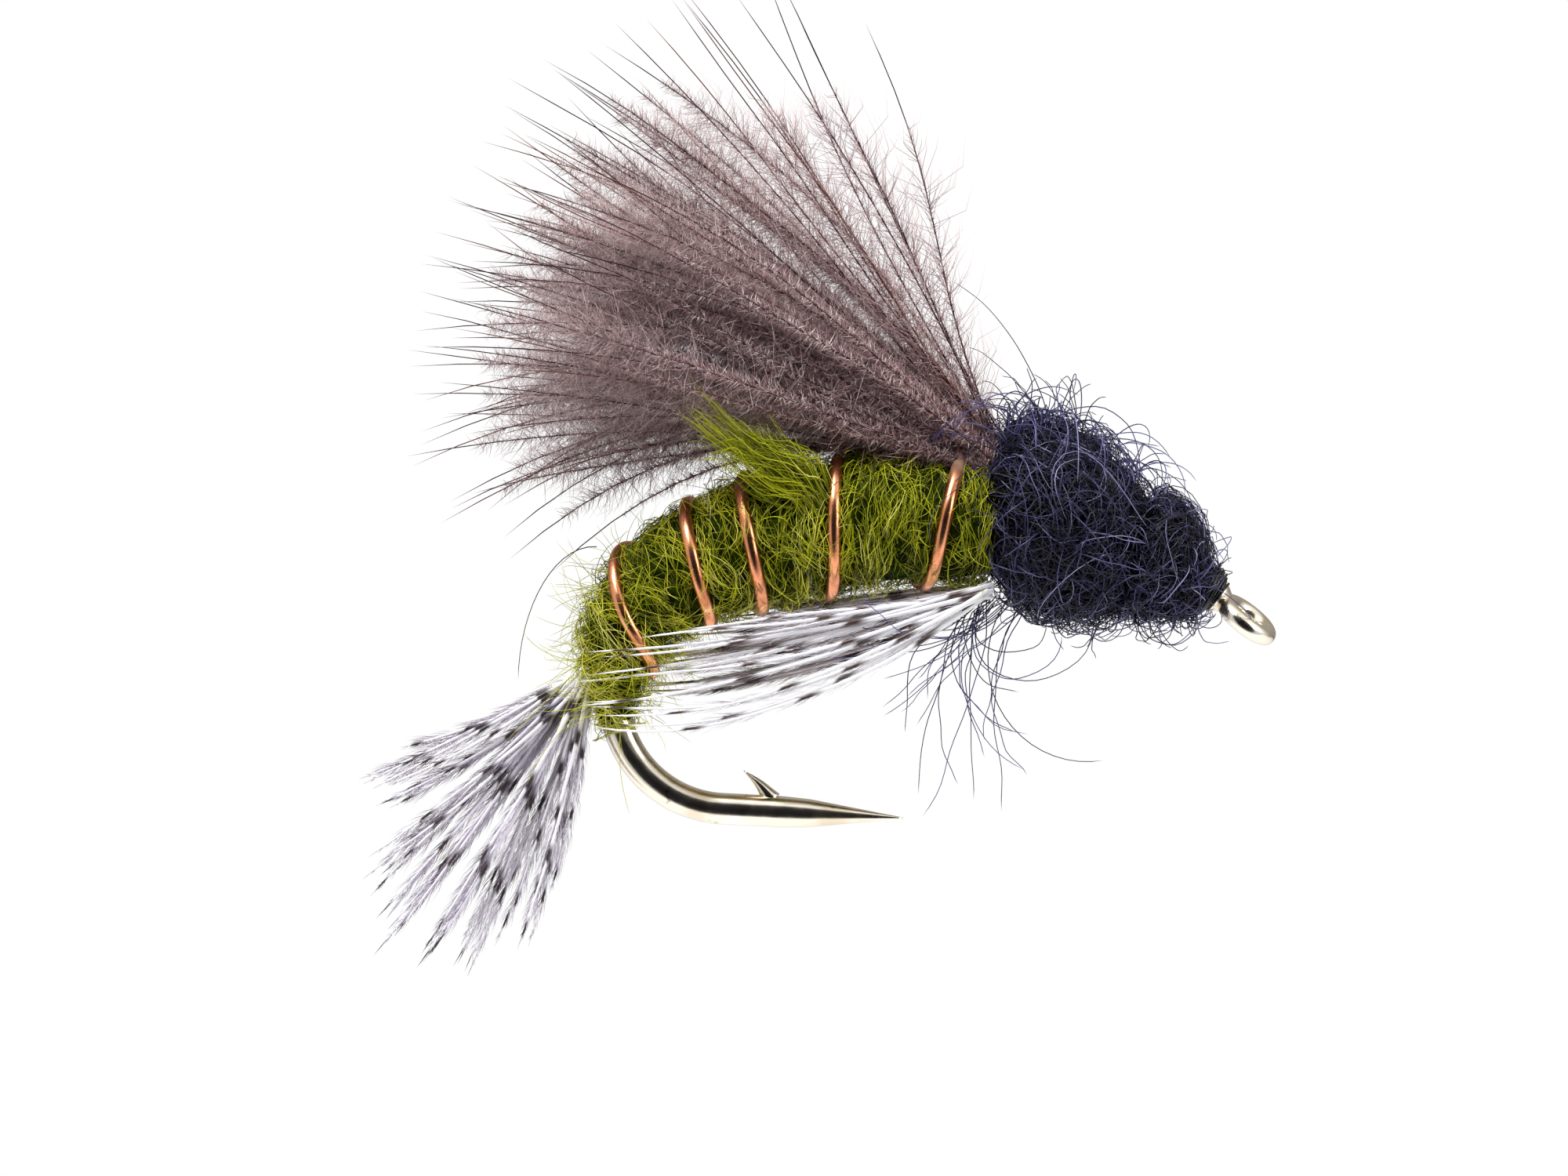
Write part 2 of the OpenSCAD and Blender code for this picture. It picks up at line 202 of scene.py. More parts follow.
def rings_about(points, radii, side, over, count):
    """Rings of count points about points, in the planes of their two side vectors."""
    turn = np.arange(count)[:, None] * 2 * np.pi / count
    out = side[..., None, :] * np.cos(turn) + over[..., None, :] * np.sin(turn)
    return points[..., None, :] + radii[..., None, None] * out


def ring_points(paths, radii, count):
    """Rings about each station of each path."""
    _, side, over = carried_frames(paths)
    return rings_about(paths, radii, side, over, count)


def stub_rings(paths, radii, count):
    """The single ring at the root of each straight path of two points."""
    along = unit(paths[:, 1:] - paths[:, :1])
    side = any_side(along)
    return rings_about(paths[:, :1], radii[:, :1], side, np.cross(along, side), count)


class Part:
    """The mesh of one piece, collected from closed shapes."""

    def __init__(self):
        self.points = []
        self.faces = []
        self.corner_uvs = []
        self.count = 0

    def add(self, points, faces, corner_uvs):
        """Adds points and arrays of faces, with a UV for every corner of every face."""
        self.points.append(points)
        for face, uv in zip(faces, corner_uvs):
            self.faces.append(face + self.count)
            self.corner_uvs.append(uv)
        self.count += len(points)

    def strands(self, paths, radii, tone, tip_tone=None, span=(0.0, 1.0), sides=3):
        """Adds a closed strand along every path, which ends in a point.

        tone and tip_tone hold a number for each strand, and without tip_tone its tone is even. span is its
        range of U, which a barbule takes from its place on the barb."""
        n, k, _ = paths.shape
        radii = np.broadcast_to(radii, (n, k))
        if k > 2:
            rings = ring_points(paths[:, :-1], radii[:, :-1], sides)
        else:
            rings = stub_rings(paths, radii, sides)
        points = np.concatenate([rings.reshape(n, -1, 3), paths[:, -1:]], 1)
        each = points.shape[1]
        t = np.linspace(0, 1, k)
        low, high = [np.broadcast_to(end, (n,))[:, None] for end in span]
        u = low + (high - low) * t
        change = 0 if tip_tone is None else (tip_tone - tone)[:, None]
        v = tone[:, None] + change * t
        u, v = [np.concatenate([np.repeat(f[:, :-1], sides, axis=1), f[:, -1:]], 1) for f in (u, v)]
        wobble = np.concatenate([np.tile(np.linspace(-UV_SPREAD, UV_SPREAD, sides), k - 1), [0.0]])
        v = np.clip(v, 0.01, 0.99) + wobble
        uv = np.stack([u, v], -1).reshape(-1, 2)
        first = np.arange(n)[:, None, None] * each
        ring = np.arange(k - 2)[None, :, None] * sides
        here = np.arange(sides)[None, None, :]
        after = (here + 1) % sides
        quads = np.stack([first + ring + here, first + ring + after,
                          first + ring + sides + after, first + ring + sides + here], -1).reshape(-1, 4)
        last = (k - 2) * sides
        tips = np.stack([first + last + here, first + last + after,
                         first + last + sides + 0 * here], -1).reshape(-1, 3)
        caps = (first[:, 0] + np.arange(sides)[None, ::-1]).reshape(-1, sides)
        faces = [quads, tips, caps]
        self.add(points.reshape(-1, 3), faces, [uv[f] for f in faces])

    def tube(self, path, radii, sides, v_range=(0.0, 1.0), closed=False):
        """Adds one closed skin round a path. A closed path makes a ring."""
        rings = ring_points(path[None], np.broadcast_to(radii, (1, len(path))), sides)[0]
        self.skin(rings, v_range, closed)

    def skin(self, rings, v_range=(0.0, 1.0), closed=False):
        """Adds a closed skin over rings of points. A closed skin joins its last ring to its first."""
        k, sides, _ = rings.shape
        rows = k if closed else k - 1
        ring = np.arange(rows)[:, None]
        here = np.arange(sides)[None, :]
        after = (here + 1) % sides
        beyond = (ring + 1) % k
        quads = np.stack([ring * sides + here, ring * sides + after,
                          beyond * sides + after, beyond * sides + here], -1).reshape(-1, 4)
        u0 = ring / rows + 0.0 * here
        u1 = (ring + 1) / rows + 0.0 * here
        v0 = v_range[0] + (v_range[1] - v_range[0]) * (here / sides) + 0.0 * ring
        v1 = v_range[0] + (v_range[1] - v_range[0]) * ((here + 1) / sides) + 0.0 * ring
        quad_uv = np.stack([np.stack([u0, v0], -1), np.stack([u0, v1], -1),
                            np.stack([u1, v1], -1), np.stack([u1, v0], -1)], -2).reshape(-1, 4, 2)
        faces = [quads]
        uvs = [quad_uv]
        if not closed:
            for cap, u in ((here[:, ::-1], 0.002), ((k - 1) * sides + here, 0.998)):
                turn = np.arange(sides) * 2 * np.pi / sides
                uv = np.stack([u + 0.001 * np.cos(turn), v_range[0] + 0.001 * (1 + np.sin(turn))], -1)
                faces.append(cap)
                uvs.append(uv[None])
        self.add(rings.reshape(-1, 3), faces, uvs)

    def make(self, name, material, slot, nodes=(), body="fly_body"):
        """Makes the mesh object, gives it its material, and ties it to the frame."""
        mesh = bpy.data.meshes.new(name)
        points = np.concatenate(self.points) * MM
        corners = np.concatenate([f.reshape(-1) for f in self.faces])
        sizes = np.concatenate([np.full(len(f), f.shape[1]) for f in self.faces])
        uvs = np.concatenate([uv.reshape(-1, 2) for uv in self.corner_uvs])
        mesh.vertices.add(len(points))
        mesh.vertices.foreach_set("co", points.astype(np.float32).ravel())
        mesh.loops.add(len(corners))
        mesh.loops.foreach_set("vertex_index", corners.astype(np.int32))
        mesh.polygons.add(len(sizes))
        mesh.polygons.foreach_set("loop_start", (np.cumsum(sizes) - sizes).astype(np.int32))
        mesh.polygons.foreach_set("use_smooth", sizes <= 4)
        layer = mesh.uv_layers.new(name=UV_NAME)
        layer.data.foreach_set("uv", uvs.astype(np.float32).ravel())
        mesh.update(calc_edges=True)
        mesh.validate()
        mesh.materials.append(material)
        piece = bpy.data.objects.new(name, mesh)
        bpy.context.scene.collection.objects.link(piece)
        if nodes:
            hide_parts(*nodes)
        if body:
            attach(piece, body)
        return piece


def sway(rng, count, stations, size, waves=(0.6, 1.8)):
    """Smooth sideways wander for fibres: zero at the root and up to about size at the tip."""
    total = np.zeros((count, stations, 3))
    for share in (1.0, 0.45):
        speed = rng.uniform(*waves, (count, 1, 3)) / share
        phase = rng.uniform(0, 2 * np.pi, (count, 1, 3))
        total += share * (np.sin(2 * np.pi * speed * shares(stations) + phase) - np.sin(phase))
    return total * size * rng.uniform(-1, 1, (count, 1, 3))


def surface_walks(rng, body, s0, phi0, course, curl, length, height):
    """Fibres that wander over a wound body. height holds how far above it each station is.

    course is their direction from the wire's, and curl is how far they turn in each millimetre."""
    stations = height.shape[1]
    t = np.linspace(0, 1, stations)
    swing = rng.uniform(-0.5, 0.5, (len(s0), 1))
    phase = rng.uniform(0, 1, (len(s0), 1))
    angle = course[:, None] + curl[:, None] * length[:, None] * t
    angle = angle + swing * np.sin(2 * np.pi * (t + phase))
    step = length[:, None] / (stations - 1)
    s = s0[:, None] + np.cumsum(np.cos(angle) * step, 1)
    radius = np.interp(s0, body[:, 0], body[:, 1])[:, None]
    phi = phi0[:, None] + np.cumsum(np.sin(angle) * step, 1) / radius
    return on_body(body, s, phi, height)


def free_hairs(start, direction, axis, turn, drift, length, stations):
    """Hairs that leave start in a direction and turn steadily about an axis, with some drift along it."""
    axis = unit(axis - np.sum(axis * direction, -1, keepdims=True) * direction)
    over = np.cross(axis, direction)
    angle = turn[:, None, None] * shares(stations)
    way = direction[:, None] * np.cos(angle) + over[:, None] * np.sin(angle)
    way = way + axis[:, None] * drift[:, None, None]
    step = length[:, None, None] / (stations - 1)
    moves = 0.5 * (way[:, 1:] + way[:, :-1]) * step
    return np.concatenate([start[:, None], start[:, None] + np.cumsum(moves, 1)], 1)


def taper(radius, stations, tip=0.35):
    """Radii that shrink from radius to tip times radius."""
    return radius * (1 - (1 - tip) * np.linspace(0, 1, stations))


# ---------------------------------------------------------------- materials

# Each fibre material: tones from dark to pale, shading from root to tip, roughness and specular level.
FIBRES = {
    # Olive fibres differ in tone at random; the darkest tones also paint shade between the locks and the
    # palest paint highlights.
    "olive_fibre": (
        [(0.0, "283002"), (0.3, "80890e"), (0.65, "c0c21e"), (0.9, "dedb3a"), (1.0, "ece880")],
        [(0.0, "a8a8a8"), (0.4, "ffffff"), (1.0, "f6f6d8")], 0.42, 0.2),
    # Black fibres: the dark tones are their own blue-black, and the pale blue-grey end paints sheen and
    # glints on them.
    "black_fibre": (
        [(0.0, "06060a"), (0.35, "110f20"), (0.65, "2b284c"), (0.85, "525080"), (1.0, "aeaed6")],
        [(0.0, "c0c0c0"), (0.5, "ffffff"), (1.0, "ffffff")], 0.3, 0.42),
    # The down's own browns and greys run up to white; the palest tones, which specks and barbule tips take,
    # paint glints and highlights.
    "soft_feather": (
        [(0.0, "301b22"), (0.2, "54383c"), (0.25, "744634"), (0.28, "806466"), (0.6, "c8acad"),
         (0.85, "ece0dc"), (1.0, "ffffff")],
        [(0.0, "f6e4e4"), (0.5, "fff6f6"), (1.0, "ffffff")], 0.5, 0.25),
}
# Each barred feather: the colours between its bars and of its bars, first two for barbules and then two for
# barbs, how many bars there are, the dark share of each, and roughness.
BARRED = {
    "leg_feather": (
        ["ece6f0", "f4f0f8", "fcfaff", "ffffff"], ["a8969c", "94828a", "4e3632", "3a2624"], 3.4, 0.2, 0.3),
    # The far legs' colours are darker and browner than the near legs': painted shade, as the abdomen shadows
    # them.
    "far_leg_feather_shaded": (
        ["b2a6a4", "beb2b0", "cfc6c8", "ded6da"], ["6e5a52", "5c4840", "3e2a24", "34221e"], 3.6, 0.26, 0.35),
    "barred_feather": (
        ["b8acc0", "cfc5d6", "f6f2fb", "ffffff"], ["74636b", "5e4e58", "3a2b32", "2a1f28"], 3.7, 0.23, 0.3),
}
# Places of those four colours on the scale of tones: barbules use its lower half and barbs its upper half.
BARRED_TONES = (0.0, 0.49, 0.51, 1.0)
# How far each fibre's bars are moved along it, in bars, over the range of tones.
BAR_SHIFT = 2.7
# Roughness of bright copper, and how much rougher its varnished end is.
COPPER_ROUGHNESS = 0.24
VARNISH_ROUGHNESS = 0.35


def srgb(code):
    """Linear colour of a hexadecimal sRGB code."""
    parts = [int(code[i:i + 2], 16) / 255 for i in (0, 2, 4)]
    linear = [c / 12.92 if c <= 0.04045 else ((c + 0.055) / 1.055) ** 2.4 for c in parts]
    return linear + [1.0]


def feed(node, name, value):
    """Sets an input of a node to a number or a colour, or links a source to it."""
    socket = node.inputs[name]
    if isinstance(value, bpy.types.NodeSocket):
        node.id_data.links.new(value, socket)
    else:
        socket.default_value = value


def start_material(name, roughness, metallic=0.0, specular=0.5):
    """A Principled material and its node tree and shader."""
    material = bpy.data.materials.new(name)
    material.use_nodes = True
    shader = material.node_tree.nodes["Principled BSDF"]
    feed(shader, "Roughness", roughness)
    feed(shader, "Metallic", metallic)
    feed(shader, "Specular IOR Level", specular)
    return material, material.node_tree, shader


def add_ramp(tree, source, stops, smooth=True):
    """A colour ramp over source. Each stop is a place and a colour code."""
    node = tree.nodes.new("ShaderNodeValToRGB")
    node.color_ramp.interpolation = "EASE" if smooth else "LINEAR"
    elements = node.color_ramp.elements
    while len(elements) < len(stops):
        elements.new(0.5)
    for element, (place, code) in zip(elements, stops):
        element.position = place
        element.color = srgb(code)
    feed(node, "Fac", source)
    return node.outputs["Color"]


def add_math(tree, operation, *values):
    """A math node over sources or numbers."""
    node = tree.nodes.new("ShaderNodeMath")
    node.operation = operation
    for i, value in enumerate(values):
        feed(node, i, value)
    return node.outputs[0]


def add_mix(tree, blend, factor, first, second):
    """A colour mix. factor, first and second are sources, and factor may be a number."""
    node = tree.nodes.new("ShaderNodeMix")
    node.data_type = "RGBA"
    node.blend_type = blend
    for name, value in (("Factor", factor), ("A", first), ("B", second)):
        feed(node, name, value)
    return node.outputs["Result"]


def split(tree, source):
    """The X, Y and Z of a source."""
    parts = tree.nodes.new("ShaderNodeSeparateXYZ")
    feed(parts, 0, source)
    return parts.outputs


def fibre_uv(tree):
    """The share of the fibre's length and the fibre's tone."""
    node = tree.nodes.new("ShaderNodeUVMap")
    node.uv_map = UV_NAME
    return split(tree, node.outputs["UV"])[:2]


def add_noise(tree, scale, detail=3.0):
    """Noise over the object's own coordinates, with about scale features to a metre."""
    place = tree.nodes.new("ShaderNodeTexCoord")
    noise = tree.nodes.new("ShaderNodeTexNoise")
    feed(noise, "Scale", scale)
    feed(noise, "Detail", detail)
    feed(noise, "Vector", place.outputs["Object"])
    return noise.outputs["Fac"]


def add_bump(tree, shader, height, distance, strength=1.0):
    """Bump of that depth in metres on the shader."""
    bump = tree.nodes.new("ShaderNodeBump")
    feed(bump, "Distance", distance)
    feed(bump, "Strength", strength)
    feed(bump, "Height", height)
    feed(shader, "Normal", bump.outputs["Normal"])


def fibre_material(name):
    """A fibre whose colour is its tone's, shaded along its length."""
    tones, along, roughness, specular = FIBRES[name]
    material, tree, shader = start_material(name, roughness, specular=specular)
    u, v = fibre_uv(tree)
    tone = add_ramp(tree, v, tones, False)
    feed(shader, "Base Color", add_mix(tree, "MULTIPLY", 1.0, tone, add_ramp(tree, u, along)))
    return material


def barred_material(name):
    """A pearly feather fibre with dark bars along it, in the same places on a barb and its barbules."""
    pale, dark, bars, dark_share, roughness = BARRED[name]
    material, tree, shader = start_material(name, roughness, specular=0.6)
    u, v = fibre_uv(tree)
    own = add_math(tree, "FRACT", add_math(tree, "MULTIPLY", v, 2.0))
    shift = add_math(tree, "MULTIPLY", own, BAR_SHIFT)
    wave = add_math(tree, "FRACT", add_math(tree, "ADD", add_math(tree, "MULTIPLY", u, bars), shift))
    start = 1.0 - dark_share
    mask = add_ramp(tree, wave, [(0.0, "000000"), (start - 0.1, "000000"), (start + 0.06, "ffffff"),
                                 (0.93, "ffffff"), (1.0, "000000")])
    between = add_ramp(tree, v, list(zip(BARRED_TONES, pale)), False)
    within = add_ramp(tree, v, list(zip(BARRED_TONES, dark)), False)
    feed(shader, "Base Color", add_mix(tree, "MIX", mask, between, within))
    feed(shader, "Sheen Weight", 0.15)
    return material


def core_material(name, low, high):
    """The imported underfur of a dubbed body, which shows between its loose fibres."""
    material, tree, shader = start_material(name, 0.9, specular=0.05)
    noise = add_noise(tree, 5200, 5.0)
    feed(shader, "Base Color", add_ramp(tree, noise, [(0.35, low), (0.7, high)]))
    add_bump(tree, shader, noise, 0.00012)
    return material


def nickel_material():
    """Bright nickel plate over forged wire, with fine handling marks."""
    material, tree, shader = start_material("nickel_plate", 0.2, metallic=1.0)
    marks = add_noise(tree, 4200, 6.0)
    clouds = add_noise(tree, 900, 3.0)
    warm = add_ramp(tree, clouds, [(0.3, "d9cdb4"), (0.55, "ece4d2"), (0.8, "f4efe4")])
    specks = add_ramp(tree, marks, [(0.27, "8a8070"), (0.36, "ffffff")])
    feed(shader, "Base Color", add_mix(tree, "MULTIPLY", 0.7, warm, specks))
    rough = tree.nodes.new("ShaderNodeMapRange")
    feed(rough, "To Min", 0.1)
    feed(rough, "To Max", 0.3)
    feed(rough, "Value", marks)
    feed(shader, "Roughness", rough.outputs["Result"])
    add_bump(tree, shader, marks, 0.000006, 0.6)
    return material


def copper_material():
    """Bright drawn copper, with the tan varnish that is left on its cut end."""
    material, tree, shader = start_material("copper_wire", COPPER_ROUGHNESS, metallic=1.0)
    u, _ = fibre_uv(tree)
    streaks = add_noise(tree, 2600, 3.0)
    metal = add_ramp(tree, streaks, [(0.3, "c07a54"), (0.55, "e69a70"), (0.8, "f6b790")])
    end = add_ramp(tree, u, [(0.965, "000000"), (0.976, "ffffff")])
    varnish = add_ramp(tree, streaks, [(0.3, "6b4a38"), (0.7, "a07e68")])
    feed(shader, "Base Color", add_mix(tree, "MIX", end, metal, varnish))
    feed(shader, "Metallic", add_math(tree, "SUBTRACT", 1.0, end))
    feed(shader, "Roughness", add_math(tree, "MULTIPLY_ADD", end, VARNISH_ROUGHNESS, COPPER_ROUGHNESS))
    add_bump(tree, shader, streaks, 0.000009, 0.5)
    return material


def thread_material():
    """Waxed black tying thread."""
    material, tree, shader = start_material("waxed_thread", 0.38, specular=0.6)
    fibres = add_noise(tree, 9000, 4.0)
    feed(shader, "Base Color", add_ramp(tree, fibres, [(0.3, "050507"), (0.8, "1c1b22")]))
    add_bump(tree, shader, fibres, 0.000008)
    return material


# ---------------------------------------------------------------- hook and thread


def make_hook(material):
    """The wire from the eye to the point, the rolled eye, and the cut barb."""
    part = Part()
    foot = -NECK_LEN + EYE_RING_R - 0.02
    spear_end = BEND_END + SPEAR_LEN
    stations = np.concatenate([
        np.linspace(foot, 0, 8)[:-1], np.linspace(0, BEND_END, 170),
        BEND_END + np.linspace(0, SPEAR_LEN, 12)[1:], spear_end + POINT_LEN * np.linspace(0, 1, 22)[1:]])
    radii = np.interp(stations, [foot, 0, spear_end - 0.15, spear_end + 0.35, spear_end + POINT_LEN],
                      [EYE_WIRE_R - 0.01, WIRE_R, WIRE_R, WIRE_R * 0.9, POINT_TIP_R])
    part.tube(wire(stations)[0], radii, 40, (0.0, 0.6))
    part.tube(eye_path(), EYE_WIRE_R, 26, (0.62, 0.84), closed=True)
    part.skin(barb_rings(), (0.86, 1.0))
    part.make("hook_wire", material, "hook_wire", ["hook"])


def eye_path():
    """The ring of the eye, which tilts down with the neck and twists about it."""
    turn = np.arange(72) * 2 * np.pi / 72
    flat = EYE_RING_R * np.stack([np.cos(turn), np.sin(turn), 0 * turn], -1)
    tilt = Matrix.Rotation(math.radians(EYE_ANGLE), 3, "Y")
    twist = Matrix.Rotation(math.radians(EYE_TWIST), 3, "X")
    return flat @ np.array(tilt @ twist).T


def barb_rings():
    """The barb: a sliver lifted from the spear, wide at its heel and sharp at its tip."""
    centre, heading, normal = wire(np.array(BEND_END + BARB_PLACE))
    inward = normal if normal[2] > 0 else -normal
    lean = math.radians(180 - BARB_ANGLE)
    way = math.cos(lean) * heading + math.sin(lean) * inward
    over = np.cross(way, NEAR)
    root = centre + 0.18 * inward
    t = np.linspace(0, 1, 14)
    turn = np.arange(24) * 2 * np.pi / 24
    tip_r = 0.006
    deep = np.interp(t, [0, 0.25, 1], [BARB_ROOT_R * 1.25, BARB_ROOT_R * 0.85, tip_r])
    wide = np.interp(t, [0, 0.6, 1], [BARB_ROOT_R, BARB_ROOT_R * 0.6, tip_r])
    middle = root + way * (BARB_LEN * t)[:, None] + over * (0.04 * np.sin(np.pi * t))[:, None]
    ring = over * (deep[:, None] * np.cos(turn))[..., None]
    ring = ring + NEAR * (wide[:, None] * np.sin(turn))[..., None]
    return middle[:, None] + ring


def wrap_path(s0, s1, r0, r1, turns, start):
    """A helix of wraps round the wire, from a distance and radius to others."""
    per_turn = 20
    t = np.linspace(0, 1, int(turns * per_turn) + 1)
    return around(s0 + (s1 - s0) * t, r0 + (r1 - r0) * t, start + 2 * np.pi * turns * t)


# Each thread node's piece, and its layers: two distances along the wire, the radii there, and the turns.
THREADS = {
    "thread_base": ("thread_base_wraps", [(1.05, 12.48, 0.31, 0.31, 260)]),
    "tail_tie_thread": ("tail_tie_wraps", [(11.5, 12.1, 0.36, 0.36, 14)]),
    "wing_tie_thread": ("wing_tie_wraps", [(2.9, 3.5, 0.48, 0.48, 14), (3.48, 2.95, 0.52, 0.52, 12)]),
    "leg_tie_thread": ("leg_tie_wraps", [(3.65, 4.1, 0.36, 0.36, 11), (4.08, 3.7, 0.4, 0.4, 9)]),
    "head_thread": ("head_wraps", [(0.02, 1.0, 0.305, 0.33, 22), (0.98, 0.08, 0.37, 0.36, 20),
                                   (0.14, 0.95, 0.39, 0.41, 16)]),
    "whip_finish": ("whip_finish_wraps", [(0.12, 0.34, 0.42, 0.44, 5.5), (0.33, 0.14, 0.45, 0.445, 3.5)]),
}


def make_threads(material):
    """Every thread node: the base under the body, the three tie-ins, the head and its whip finish."""
    for node, (name, layers) in THREADS.items():
        part = Part()
        for i, layer in enumerate(layers):
            band = (i / len(layers), (i + 0.9) / len(layers))
            part.tube(wrap_path(*layer, start=1.3 * i), THREAD_R * 1.15, 6, band)
        part.make(name, material, "black_thread", [node])


def make_wing_butts(material):
    """The cut quills of the wing feathers, tied down along the top of the wire."""
    rng = np.random.default_rng(11)
    part = Part()
    count = 14
    for i, phi in enumerate(np.radians(np.linspace(-78, 78, count))):
        s = np.linspace(2.5 + rng.uniform(0, 0.14), 3.55 + rng.uniform(-0.05, 0.0), 10)
        radius = 0.4 + rng.uniform(-0.01, 0.012)
        band = (i / count, (i + 0.9) / count)
        part.tube(around(s, radius, phi), 0.044, 10, band)
    part.make("wing_butts_quills", material, "grey_feather", ["wing_butts"])


def rib_path():
    """The rib's centre line, from the tail to its cut end in front. Its crossings lie half a turn apart."""
    halves = len(RIB_CROSSINGS) - 1
    half = np.linspace(0, halves, halves * 26 + 1)
    s = np.interp(half, np.arange(halves + 1), RIB_CROSSINGS)
    window = 13
    smooth = np.convolve(np.pad(s, window // 2, mode="edge"), np.ones(window) / window, mode="valid")
    return on_body(ABDOMEN, smooth, np.pi - np.pi * half, RIB_R * (1 - 2 * RIB_SINK) + 0.03)


def clear_of_rib(rng, paths, gap):
    """The paths, pressed in under the rib where they come nearer to it than gap. A few stay over it."""
    flat = paths.reshape(-1, 3)
    near = np.full(len(flat), np.inf)
    for point in rib_path()[::3]:
        near = np.minimum(near, np.linalg.norm(flat - point, axis=1))
    near = near.reshape(paths.shape[:2])
    stretch = np.linspace(13, 4, 200)
    s = np.interp(paths[..., 0], wire(stretch)[0][:, 0], stretch)
    pressed = rng.uniform(0, 1, (len(paths), 1)) > 0.07
    deep = 0.3 * np.clip((gap - near) / gap, 0, 1) * pressed
    return paths + unit(wire(s)[0] - paths) * deep[..., None]


def make_rib(material):
    """The copper wire wound over the abdomen in five open turns, with its cut end standing at the front."""
    part = Part()
    part.tube(rib_path(), RIB_R, 18)
    part.make("rib_turns", material, "copper_wire", ["rib_wire"])


# ---------------------------------------------------------------- dubbing


def hollow(body, s, phi):
    """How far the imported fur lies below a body's outside. Only the thorax dips, on top, under its loops."""
    depth = HOLLOW_DEPTH if body is THORAX else 0.0
    return depth * np.exp(-((s - HOLLOW_PLACE) / HOLLOW_REACH) ** 2) * np.clip(np.cos(phi), 0, 1)


def core_rings(body, inset, rng, rough):
    """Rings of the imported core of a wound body, uneven as wound fur is, drawn in at both ends."""
    sides = 72
    s = np.linspace(body[0, 0], body[-1, 0], 60)
    grid_s, grid_phi = np.meshgrid(s, np.arange(sides) * 2 * np.pi / sides, indexing="ij")
    bumps = np.zeros_like(grid_s)
    ripples = 9
    for _ in range(ripples):
        waves = rng.integers(2, 9)
        speed = rng.uniform(2, 9)
        phase = rng.uniform(0, 6.28)
        bumps += np.sin(waves * grid_phi + speed * grid_s + phase) / ripples
    points = on_body(body, grid_s, grid_phi, rough * bumps - inset - hollow(body, grid_s, grid_phi))
    ends = []
    for row in (0, -1):
        centre = wire(s[row])[0]
        ends.append(centre + (points[row:][:1] - centre) * 0.4)
    return np.concatenate([ends[0], points, ends[1]])


def make_core(name, node, body, inset, rough, seed, material, slot):
    """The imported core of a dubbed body."""
    part = Part()
    part.skin(core_rings(body, inset, np.random.default_rng(seed), rough))
    part.make(name, material, slot, [node])


def spots(rng, body, count):
    """Random places on a body, as distances and turns. Wide stretches get more of them."""
    s = body[0, 0] + (body[-1, 0] - body[0, 0]) * rng.uniform(0, 1, count * 3)
    keep = rng.uniform(0, body[:, 1].max(), count * 3) < np.interp(s, body[:, 0], body[:, 1])
    s = s[keep][:count]
    return s, rng.uniform(0, 2 * np.pi, len(s))


# Two layers of the abdomen's fibres: locks, fibres in each, height, lift, radius, and shortest and longest.
ABDOMEN_LAYERS = [
    (420, 7, -0.07, 0.1, 0.0118, (0.5, 1.25)),
    (370, 7, -0.01, 0.2, 0.0102, (0.45, 1.3)),
]


def make_abdomen_fibres(material):
    """Locks of olive fibres wound round the abdomen, combed across it and at different heights."""
    rng = np.random.default_rng(21)
    part = Part()
    stations = 7
    t = np.linspace(0, 1, stations)
    for locks, each, height, lift, radius, lengths in ABDOMEN_LAYERS:
        s, phi = spots(rng, ABDOMEN, locks)
        n = len(s) * each
        course = np.radians(rng.normal(86, 15, len(s))) + np.pi * rng.integers(0, 2, len(s))
        curl = rng.normal(0, 0.8, len(s))
        patch = np.sin(4.3 * s + 2.0 * np.sin(3.0 * phi)) * np.cos(3.1 * phi - 1.7 * s)
        paler_rear = 0.3 * np.clip((s - 11.0) / 1.5, 0, 1)
        tone = rng.beta(1.05, 1.1, len(s)) + 0.22 * patch + paler_rear
        deep = rng.uniform(-0.06, 0.06, len(s)) + 0.05 * patch
        course, curl, tone, s, phi, deep = [np.repeat(f, each) for f in (course, curl, tone, s, phi, deep)]
        course = course + rng.normal(0, 0.11, n)
        curl = curl + rng.normal(0, 0.3, n)
        tone = np.clip(tone + rng.normal(0, 0.14, n), 0.0, 1.0)
        s = s + rng.normal(0, 0.055, n)
        phi = phi + rng.normal(0, 0.06, n)
        length = rng.uniform(*lengths, n)
        crown = rng.uniform(0, lift, (n, 1)) * np.sin(np.pi * t)
        end = rng.uniform(0, lift, (n, 1)) * t ** 3
        rise = crown + end + deep[:, None] + height
        paths = surface_walks(rng, ABDOMEN, s, phi, course, curl, length, rise)
        paths += sway(rng, n, stations, 0.025)
        part.strands(clear_of_rib(rng, paths, 0.21), taper(radius, stations), tone)
    part.make("abdomen_fibres", material, "olive_dubbing")


# One long stray hair stands off the abdomen's rear in an arc. These are the ends and handles of its curve.
STRAY = np.array([[-11.6, -0.2, 1.3], [-12.4, -0.3, 1.35], [-13.0, -0.35, 0.1], [-13.0, -0.3, -1.1]])


